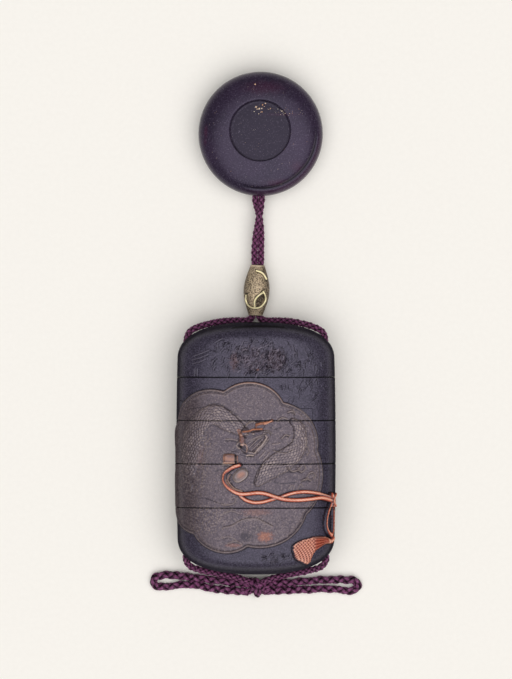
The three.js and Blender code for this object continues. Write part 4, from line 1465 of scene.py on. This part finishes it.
def spun(name, profile, centre, axis, steps):
    """A profile of (radius, along) points in millimetres, spun about an axis through centre."""
    up_z = axis == "Z"
    points = [(r, 0, h) if up_z else (r, h, 0) for r, h in profile]
    points = [tuple(p + c for p, c in zip(point, centre)) for point in points]
    mesh = bpy.data.meshes.new(name)
    edges = [(i, i + 1) for i in range(len(points) - 1)]
    mesh.from_pydata((np.array(points) * MM).tolist(), edges, [])
    piece = bpy.data.objects.new(name, mesh)
    bpy.context.collection.objects.link(piece)
    make_active(piece)
    bpy.ops.object.mode_set(mode="EDIT")
    bpy.ops.mesh.select_all(action="SELECT")
    bpy.ops.mesh.spin(
        steps=steps, angle=2 * math.pi, center=[c * MM for c in centre],
        axis=(0, 0, 1) if up_z else (0, 1, 0),
    )
    bpy.ops.mesh.select_all(action="SELECT")
    bpy.ops.mesh.remove_doubles(threshold=MERGE)
    bpy.ops.mesh.normals_make_consistent(inside=False)
    bpy.ops.object.mode_set(mode="OBJECT")
    face_outward(piece)
    return piece


def toggle_profile():
    """Half of the bun's section, from the middle of its flat base to the middle of its top."""
    radius, base = TOGGLE_RADIUS, TOGGLE_BASE_RADIUS
    rows = [(r, 0.0) for r in np.linspace(0, base - 0.3, 12)]
    for angle in np.linspace(0, math.pi / 2, 40):
        rows.append((
            base + (radius - base) * math.sin(angle),
            TOGGLE_EQUATOR * (1 - math.cos(angle)),
        ))
    rise = TOGGLE_HEIGHT - TOGGLE_EQUATOR
    for angle in np.linspace(math.pi / 2, 0, 110)[1:]:
        rows.append((
            radius * math.sin(angle) ** (2 / TOGGLE_POWER),
            TOGGLE_EQUATOR + rise * math.cos(angle) ** (2 / TOGGLE_POWER),
        ))
    return rows


# ---- settings, operators and panel ---------------------------------------------------------------------


def colour(name, description, code):
    """A colour setting whose default is an sRGB hex code."""
    return FloatVectorProperty(
        name=name, description=description, subtype="COLOR", default=linear(code), min=0, max=1,
    )


class InroFinish(bpy.types.PropertyGroup):
    """Colours of the case, bead, toggle and cord."""

    lacquer: colour("Black lacquer", "Colour of the case's plain lacquer", "211d29")
    medallion: colour("Medallion", "Colour of the brown-grey ground of the medallion", "4a3f45")
    coral: colour("Coral lacquer", "Colour of the raised cord and tassel", "b04a30")
    toggle: colour("Toggle lacquer", "Colour of the toggle's rubbed lacquer", "130d1c")
    bead: colour("Bead metal", "Colour of the punched bead", "a8947a")
    gold: colour("Gold wire", "Colour of the wire on the bead", "f5e8b6")
    silk: colour("Silk", "Colour of the braided cord", "5a1547")


class InroBuild(bpy.types.PropertyGroup):
    """How finely the pieces are modelled, and how they are lit."""

    relief_step: FloatProperty(
        name="Relief grid", description="Spacing of the grid that carries the raised work",
        default=0.17 * MM, min=0.1 * MM, max=1 * MM, unit="LENGTH", precision=5,
    )
    toggle_steps: IntProperty(
        name="Toggle steps", description="Steps of the toggle's spin", default=192, min=24,
    )
    punch: FloatProperty(
        name="Punch spacing", description="Spacing of the punch marks on the bead",
        default=0.55 * MM, min=0.2 * MM, unit="LENGTH", precision=5,
    )
    light: FloatProperty(name="Light", description="Brightness of the broad overhead light", default=1.99)
    room: FloatProperty(name="Room", description="Brightness of the room round the light", default=0.2)


class INRO_OT_stage(bpy.types.Operator):
    """Lays the pale table, sets the soft studio light and hangs the camera over the case"""

    bl_idname = "inro.stage"
    bl_label = "Stage"

    VIEW_HEIGHT = 231.7 * MM
    VIEW_CENTRE = (0.0, 37.1 * MM, 12 * MM)
    DISTANCE = 1.5
    SENSOR = 36.0
    LIGHT_TOWARD = (0.1, -0.24, 0.96)
    LIGHT_EDGES = (54.0, 30.0)   # degrees from the light's middle: where it ends and where it is full

    def execute(self, context):
        deselect()
        bpy.ops.mesh.primitive_plane_add(size=6, location=(0, 0, 0))
        table = context.object
        table.name = "table"
        table.data.materials.append(table_paper())
        camera = bpy.data.cameras.new("camera")
        camera.sensor_fit = "VERTICAL"
        camera.sensor_height = self.SENSOR
        camera.lens = self.SENSOR * self.DISTANCE / self.VIEW_HEIGHT
        camera.clip_start = 0.05
        viewer = bpy.data.objects.new("camera", camera)
        viewer.location = self.VIEW_CENTRE
        viewer.location.z += self.DISTANCE
        context.collection.objects.link(viewer)
        context.scene.camera = viewer
        context.scene.world = self.studio(context.scene.inro_build)
        context.scene.view_settings.view_transform = "Standard"
        return {"FINISHED"}

    def studio(self, build):
        """A dim room with one broad soft light overhead, brightest at its middle."""
        world = bpy.data.worlds.new("studio")
        world.use_nodes = True
        tree = world.node_tree
        sky = tree.nodes["Background"]
        sky.inputs["Color"].default_value = (*linear("fffefc"), 1)
        toward = np.array(self.LIGHT_TOWARD) / np.linalg.norm(self.LIGHT_TOWARD)
        view = add_node(tree, "ShaderNodeTexCoord", output="Generated")
        facing = add_node(
            tree, "ShaderNodeVectorMath", {0: view, 1: tuple(toward)}, "Value", operation="DOT_PRODUCT",
        )
        low, high = (math.cos(math.radians(angle)) for angle in self.LIGHT_EDGES)
        inputs = {
            "Value": facing, "From Min": low, "From Max": high, "To Min": build.room, "To Max": build.light,
        }
        strength = add_node(tree, "ShaderNodeMapRange", inputs, interpolation_type="SMOOTHSTEP")
        tree.links.new(strength, sky.inputs["Strength"])
        return world


class INRO_OT_cord(bpy.types.Operator):
    """Braids the silk cord from the toggle through the bead and round the case, and ties its bow"""

    bl_idname = "inro.cord"
    bl_label = "Silk cord"

    KNOT_Y = -48
    # The knot's turns, in millimetres.
    KNOT_TURNS = (
        ((-1.7, -45.6, 1.4), (-1.5, -45.7, 2.9), (-0.9, -46.5, 3.9), (-0.3, -48, 4.3), (0.2, -49.6, 3.8),
         (0.5, -50.4, 2.5), (0.4, -50.2, 1.3), (-0.1, -49, 1.1), (-0.8, -47.4, 1.1), (-1.7, -45.6, 1.4)),
        ((-0.7, -46.1, 1.2), (-0.5, -45.6, 2.6), (0.7, -46.1, 3.9), (1.9, -47.4, 3.6), (1.6, -48.9, 3),
         (0.9, -49.8, 1.9), (0.3, -49.2, 1.1), (-0.2, -47.6, 1.1), (-0.7, -46.1, 1.2)),
        ((-0.4, -47.2, 3.4), (1.1, -46.9, 3.9), (2.6, -47.1, 3.4), (3.9, -47.4, 2.4), (4.8, -47.6, 1.8)),
    )

    def execute(self, context):
        silk = braided_silk()
        left = LEFT_TOP + LEFT_ROUND_CASE
        right = RIGHT_TOP + mirrored(LEFT_ROUND_CASE)
        thin, thick = CORD_DIAMETER, LOOP_DIAMETER
        for name, route in (("cord_left", left), ("cord_right", right)):
            braided_cord(name, route, thin, silk, TAUT_STRANDS, TAUT_LOOSENESS)
        for name, route in (("bow_loop_left", LEFT_LOOP), ("bow_loop_right", RIGHT_LOOP)):
            braided_cord(name, route, thick, silk, SLACK_STRANDS, SLACK_LOOSENESS)
        bundle = Bundle()
        for turns in self.KNOT_TURNS:
            line, _ = centripetal(turns, BRAID_STEP)
            add_braid(bundle, line, 0.95 * thin / MM, SLACK_STRANDS, KNOT_LOOSENESS)
        # Each end runs in under the knot: its last point, the one before it, and its diameter.
        loops = (LEFT_LOOP, LEFT_LOOP[::-1], RIGHT_LOOP, RIGHT_LOOP[::-1])
        ends = [(*loop[:2], thick) for loop in loops]
        ends += [(*route[:-3:-1], thin) for route in (left, right)]
        for end, before, diameter in ends:
            start = np.array(end) / MM
            outside = start + 0.25 * (np.array(before) / MM - start)
            middle = np.array([0.15 * start[0], 0.35 * start[1] + 0.65 * self.KNOT_Y, start[2]])
            line, _ = centripetal([outside, start, (start + middle) / 2, middle], BRAID_STEP)
            add_braid(bundle, line, 0.92 * diameter / MM, TAUT_STRANDS, 0)
        knot = bundle.piece("bow_knot_braid")
        finish_piece(knot, "silk", [silk], "bow_knot")
        return {"FINISHED"}


class INRO_OT_case(bpy.types.Operator):
    """Models the five sections of the case, with the raised work on their front"""

    bl_idname = "inro.case"
    bl_label = "Case sections"

    def execute(self, context):
        lacquer = case_lacquer()
        step = context.scene.inro_build.relief_step / MM
        names = ["lid", "case_1", "case_2", "case_3", "case_4"]
        seams = [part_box(name)[0][1] / MM - SEAM_GAP / 2 for name in names[:-1]]
        cutter = channel_cutter()
        for i, name in enumerate(names):
            is_lid, is_base = i == 0, i == len(names) - 1
            bottom = -DOME_TIP if is_base else seams[i] + SHOWN_GAP / 2
            top = DOME_TIP if is_lid else seams[i - 1] - SHOWN_GAP / 2
            piece = section_solid(f"{name}_carved", bottom, top, is_base, is_lid, step)
            cut_with(piece, cutter)
            paint_section(piece, bottom, top)
            smooth(piece, 40)
            finish_piece(piece, "lacquer", [lacquer], name)
        bpy.data.objects.remove(cutter)
        return {"FINISHED"}


class INRO_OT_toggle(bpy.types.Operator):
    """Turns the round toggle, with its ring, seam, cord socket and flecks"""

    bl_idname = "inro.toggle"
    bl_label = "Toggle"

    SOCKET = ((0.85, 86.2, 4.4), (5.2, 21.0, 3.0))   # centre and size
    RING_SHIFT = (-0.5, 1.9)
    CHIPS_BY_RING, CHIPS_IN_ROW, CHIPS_ALL_OVER = 9, 30, 40
    CHIP_RAY_FROM = 50 * MM      # a chip is dropped from this height on to the toggle
    # Each worn spot: x, y, half width, half height and amount.
    WEAR = (
        (-17.2, 108, 0.9, 3.2, 0.4), (-17.4, 104.6, 0.8, 1.6, 0.3), (3, 123, 9, 3.4, 0.3),
        (14, 96, 3, 3, 0.25), (8, 90.5, 7, 1.6, 0.3), (9, 113.8, 8, 0.7, 0.2),
    )

    def execute(self, context):
        low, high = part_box("netsuke")
        centre = ((low.x + high.x) / 2 / MM, (low.y + high.y) / 2 / MM, 0)
        piece = spun("netsuke_bun", toggle_profile(), centre, "Z", context.scene.inro_build.toggle_steps)
        place = points_of(piece)
        x, y = place[:, 0] - centre[0], place[:, 1] - centre[1]
        top = place[:, 2] > TOGGLE_EQUATOR
        reach = np.hypot(x, y)
        pull = np.where(top, np.clip(1 - reach / TOGGLE_RADIUS, 0, 1), 0)
        place[:, 0] += self.RING_SHIFT[0] * pull
        place[:, 1] += self.RING_SHIFT[1] * pull
        ring = top * band(reach, TOGGLE_RING, 0.26)
        dish = top * smoothstep(TOGGLE_RING + 0.2, TOGGLE_RING - 1.2, reach)
        turn = np.degrees(np.arctan2(y, x))
        arc = smoothstep(-118, -80, turn) * smoothstep(14, -22, turn)
        seam = top * band(reach, TOGGLE_SEAM, 0.5) * arc
        place[:, 2] -= RING_DEPTH * ring + DISH_DEPTH * dish + SEAM_DEPTH * seam
        move_points(piece, place)
        lower = smoothstep(25, -45, turn) * smoothstep(-175, -140, turn)
        worn = np.zeros(len(place))
        patchy, _ = cell_noise(place[:, 0], place[:, 1], 1.1, 81)
        for across, up, wide, tall, amount in self.WEAR:
            spot = np.hypot((place[:, 0] - across) / wide, (place[:, 1] - up) / tall)
            worn = np.maximum(worn, amount * smoothstep(1.3, 0.3, spot + 0.4 * patchy) * top)
        rim_band = smoothstep(TOGGLE_SEAM + 0.2, TOGGLE_SEAM + 0.7, reach) * arc * top
        worn = np.maximum(worn, 0.22 * rim_band)
        deselect()
        bpy.ops.mesh.primitive_cube_add(
            size=1, location=[c * MM for c in self.SOCKET[0]], scale=[c * MM for c in self.SOCKET[1]],
        )
        cutter = context.object
        # Painted shade in the ring's line, heavier on its lower side, and in the seam on the lower right.
        store_mask(piece, "groove", np.clip(ring * (0.14 + 0.83 * lower) + 0.95 * seam, 0, 1))
        store_mask(piece, "dish", top * smoothstep(TOGGLE_RING + 0.1, TOGGLE_RING - 0.4, reach))
        store_mask(piece, "worn", worn)
        cut_with(piece, cutter)
        bpy.data.objects.remove(cutter)
        smooth(piece, 40)
        finish_piece(piece, "toggle_lacquer", [toggle_lacquer()], "netsuke")
        self.flecks(context)
        return {"FINISHED"}

    def flecks(self, context):
        """Tiny shell and gold chips in the lacquer near the ring."""
        rng = np.random.default_rng(8)
        chips = [(3.2, 117.6, 0.34, 0), (4.9, 115.9, 0.28, 0), (-0.3, 124.2, 0.3, 0), (0, 116.4, 0.4, 0),
                 (1.1, 115.8, 0.42, 0), (2, 114.7, 0.25, 0), (8.8, 115, 0.22, 0)]
        for i in range(self.CHIPS_BY_RING):
            chips.append((rng.normal(1.3, 1.1), rng.normal(115.9, 0.8), rng.uniform(0.14, 0.32), i % 2))
        for _ in range(self.CHIPS_IN_ROW):
            x = rng.uniform(3.5, 16)
            chips.append((x, rng.normal(114.9, 0.6), rng.uniform(0.06, 0.15), int(x * 7) % 3 > 0))
        for _ in range(self.CHIPS_ALL_OVER):
            turn, reach = rng.uniform(0, 2 * math.pi), 19 * math.sqrt(rng.uniform())
            chips.append((1.6 + reach * math.cos(turn), 107.5 + reach * math.sin(turn),
                          rng.uniform(0.05, 0.1), 1))
        toggle = bpy.data.objects["netsuke_bun"]
        shape = bmesh.new()
        for x, y, size, kind in chips:
            hit, at, normal, _ = toggle.ray_cast((x * MM, y * MM, self.CHIP_RAY_FROM), (0, 0, -1))
            if not hit:
                continue
            turned = normal.to_track_quat("Z", "Y").to_matrix().to_4x4()
            made = bmesh.ops.create_icosphere(shape, subdivisions=1, radius=size * MM)["verts"]
            bmesh.ops.scale(shape, verts=made, vec=(1, rng.uniform(0.6, 1.3), 0.3))
            bmesh.ops.transform(shape, verts=made, matrix=turned)
            bmesh.ops.translate(shape, verts=made, vec=at)
            for face in {face for vert in made for face in vert.link_faces}:
                face.material_index = int(kind)
                face.smooth = True
        mesh = bpy.data.meshes.new("netsuke_flecks")
        shape.to_mesh(mesh)
        shape.free()
        piece = bpy.data.objects.new("netsuke_flecks", mesh)
        context.collection.objects.link(piece)
        finish_piece(piece, "toggle_lacquer", [shell_fleck(), red_fleck()])


class INRO_OT_bead(bpy.types.Operator):
    """Turns the olive-shaped bead, punches its surface and lays the gold wires on it"""

    bl_idname = "inro.bead"
    bl_label = "Slide bead"

    LOW, HIGH = 45.3, 62.6
    RADIUS = 4.45
    END_RADIUS = 2.4
    BORE = 2.1
    SWELL = 1.1
    LEAN_DEG = 2.5
    MIDDLE_X = 0.2
    WIRE_RADIUS = 0.32
    WIRE_LIFT = 0.05
    LIES_BELOW = 0.15            # this low on its underside the bead is left smooth
    ARC = ((-0.5, 60.7), (1.2, 60.2), (2.3, 59.3), (3.2, 57.8))
    HOOK = ((-3.4, 52.3), (-3.5, 50.6), (-2.9, 49.1), (-1.8, 48.1), (-0.3, 47.8), (1.4, 48.2),
            (2.7, 49.6), (3.2, 51), (2.9, 52.4), (2.2, 53.8))
    LEAF = ((2.3, 53.3), (1.3, 52.6), (0.2, 51.5), (-0.5, 50.1), (-0.4, 48.2))

    def execute(self, context):
        radius = self.RADIUS
        piece = spun("ojime_olive", self.profile(), (0, 0, radius), "Y", BEAD_STEPS_ROUND)
        place = points_of(piece)
        x, z = place[:, 0], place[:, 2] - radius
        reach = np.hypot(x, z)
        turn = np.arctan2(x, z)
        outer = reach > self.END_RADIUS - 0.05
        punch = context.scene.inro_build.punch / MM
        distance, value = cell_noise(turn * radius, place[:, 1], punch, 41)
        pit = smoothstep(0.62, 0.1, distance) * outer
        ends = np.minimum(place[:, 1] - self.LOW, self.HIGH - place[:, 1])
        pit *= smoothstep(0.3, 0.9, ends)
        wires = self.wire_distance(turn * radius, place[:, 1])
        channel = band(wires, self.WIRE_RADIUS, 0.26) * outer
        drop = PUNCH_DEPTH * pit * (0.4 + 0.6 * value) + CHANNEL_DEPTH * channel
        drop = np.where(place[:, 2] < self.LIES_BELOW, 0, drop)
        place[:, 0] -= x / reach * drop
        place[:, 2] -= z / reach * drop
        move_points(piece, self.leaned(place))
        collar = smoothstep(0.75, 0.3, ends) * outer
        leaf = self.leaf_inside(turn * radius, place[:, 1]) * outer
        # Painted shade darkens the bead's left and right sides, where they turn away from above.
        sides = smoothstep(0.5, 0.95, np.abs(x) / np.maximum(reach, 0.1)) * outer
        dark = np.clip(1.35 * pit * value + 0.95 * channel + 0.75 * leaf + 0.6 * sides, 0, 1)
        store_mask(piece, "dark", dark)
        store_mask(piece, "light", np.clip(0.6 * collar + 0.45 * (1 - pit) * outer, 0, 1) * (1 - dark))
        smooth(piece, 50)
        finish_piece(piece, "bead_metal", [bead_metal()], "ojime")
        self.wires(context)
        return {"FINISHED"}

    def profile(self):
        """Half of the bead's section, with its bore."""
        low, high, end, bore = self.LOW, self.HIGH, self.END_RADIUS, self.BORE
        rows = [(bore, low), (end - 0.12, low), (end, low + 0.12)]
        for t in np.linspace(0.03, 0.97, 110):
            swell = math.sin(math.pi * t) ** self.SWELL
            rows.append((end + (self.RADIUS - end) * swell, low + (high - low) * t))
        return rows + [(end, high - 0.12), (end - 0.12, high), (bore, high), (bore, low)]

    def leaned(self, place):
        """Places turned about the bead's middle, as the bead leans on the table."""
        lean, middle = math.radians(self.LEAN_DEG), (self.LOW + self.HIGH) / 2
        x, y = place[..., 0].copy(), place[..., 1] - middle
        place[..., 0] = self.MIDDLE_X + x * math.cos(lean) + y * math.sin(lean)
        place[..., 1] = middle + y * math.cos(lean) - x * math.sin(lean)
        return place

    def over(self, x, y, lift):
        """The point on the bead over a place seen from the front, in millimetres."""
        t = (y - self.LOW) / (self.HIGH - self.LOW)
        reach = self.END_RADIUS + (self.RADIUS - self.END_RADIUS) * math.sin(math.pi * t) ** self.SWELL
        x = max(min(x, 0.97 * reach), -0.97 * reach)
        z = math.sqrt(reach ** 2 - x ** 2)
        return np.array([x * (1 + lift / reach), y, self.RADIUS + z * (1 + lift / reach)])

    def wire_distance(self, u, y):
        """How far each place on the unrolled bead is from the nearest wire."""
        best = np.full(u.shape, 9.0)
        for points in (self.ARC, self.HOOK, self.LEAF):
            rows = []
            for x0, y0 in points:
                at = self.over(x0, y0, 0)
                rows.append((math.atan2(at[0], at[2] - self.RADIUS) * self.RADIUS, y0))
            for x0, y0 in smooth_line(rows, WIRE_STEP):
                best = np.minimum(best, np.hypot(u - x0, y - y0))
        return best

    def leaf_inside(self, u, y):
        """The dark oval that the lower wire encloses."""
        centre = (1.55, 50.4)
        du, dy = u - centre[0], y - centre[1]
        across, along = 0.86 * du - 0.5 * dy, 0.5 * du + 0.86 * dy
        return smoothstep(1.15, 0.85, np.hypot(across / 1.25, along / 2.2))

    def wires(self, context):
        """The gold wires, as tubes half sunk in the bead."""
        rows = []
        for points in (self.ARC, self.HOOK, self.LEAF):
            curve = bpy.data.curves.new("wire", "CURVE")
            curve.dimensions = "3D"
            curve.bevel_depth = self.WIRE_RADIUS * MM
            curve.bevel_resolution = 3
            curve.use_fill_caps = True
            line = smooth_line(points, WIRE_STEP)
            line = self.leaned(np.array([self.over(x, y, self.WIRE_LIFT) for x, y in line]))
            spline = curve.splines.new("POLY")
            spline.points.add(len(line) - 1)
            for point, at in zip(spline.points, line):
                point.co = (*(at * MM), 1)
            wire = bpy.data.objects.new("wire", curve)
            context.collection.objects.link(wire)
            rows.append(wire)
        deselect()
        for wire in rows:
            wire.select_set(True)
        context.view_layer.objects.active = rows[0]
        bpy.ops.object.convert(target="MESH")
        bpy.ops.object.join()
        piece = context.object
        piece.name = "ojime_wires"
        smooth(piece, 60)
        finish_piece(piece, "bead_metal", [gold_wire()])


class INRO_PT_panel(bpy.types.Panel):
    """Lists the steps that build the case and its fittings"""

    bl_label = "Inro"
    bl_idname = "INRO_PT_panel"
    bl_space_type = "VIEW_3D"
    bl_region_type = "UI"
    bl_category = "Inro"

    def draw(self, context):
        for operator in OPERATORS:
            self.layout.operator(operator.bl_idname)
        for group in (context.scene.inro_build, context.scene.inro_finish):
            box = self.layout.box()
            for name in group.bl_rna.properties.keys():
                if name not in {"rna_type", "name"}:
                    box.prop(group, name)


OPERATORS = (INRO_OT_stage, INRO_OT_cord, INRO_OT_case, INRO_OT_toggle, INRO_OT_bead)
CLASSES = (InroFinish, InroBuild, *OPERATORS, INRO_PT_panel)


def register():
    for cls in CLASSES:
        bpy.utils.register_class(cls)
    bpy.types.Scene.inro_finish = PointerProperty(type=InroFinish)
    bpy.types.Scene.inro_build = PointerProperty(type=InroBuild)


def unregister():
    del bpy.types.Scene.inro_build
    del bpy.types.Scene.inro_finish
    for cls in reversed(CLASSES):
        bpy.utils.unregister_class(cls)


def main():
    register()
    bpy.ops.inro.stage()
    bpy.ops.inro.cord()
    bpy.ops.inro.case()
    bpy.ops.inro.toggle()
    bpy.ops.inro.bead()


if __name__ == "__main__":
    main()
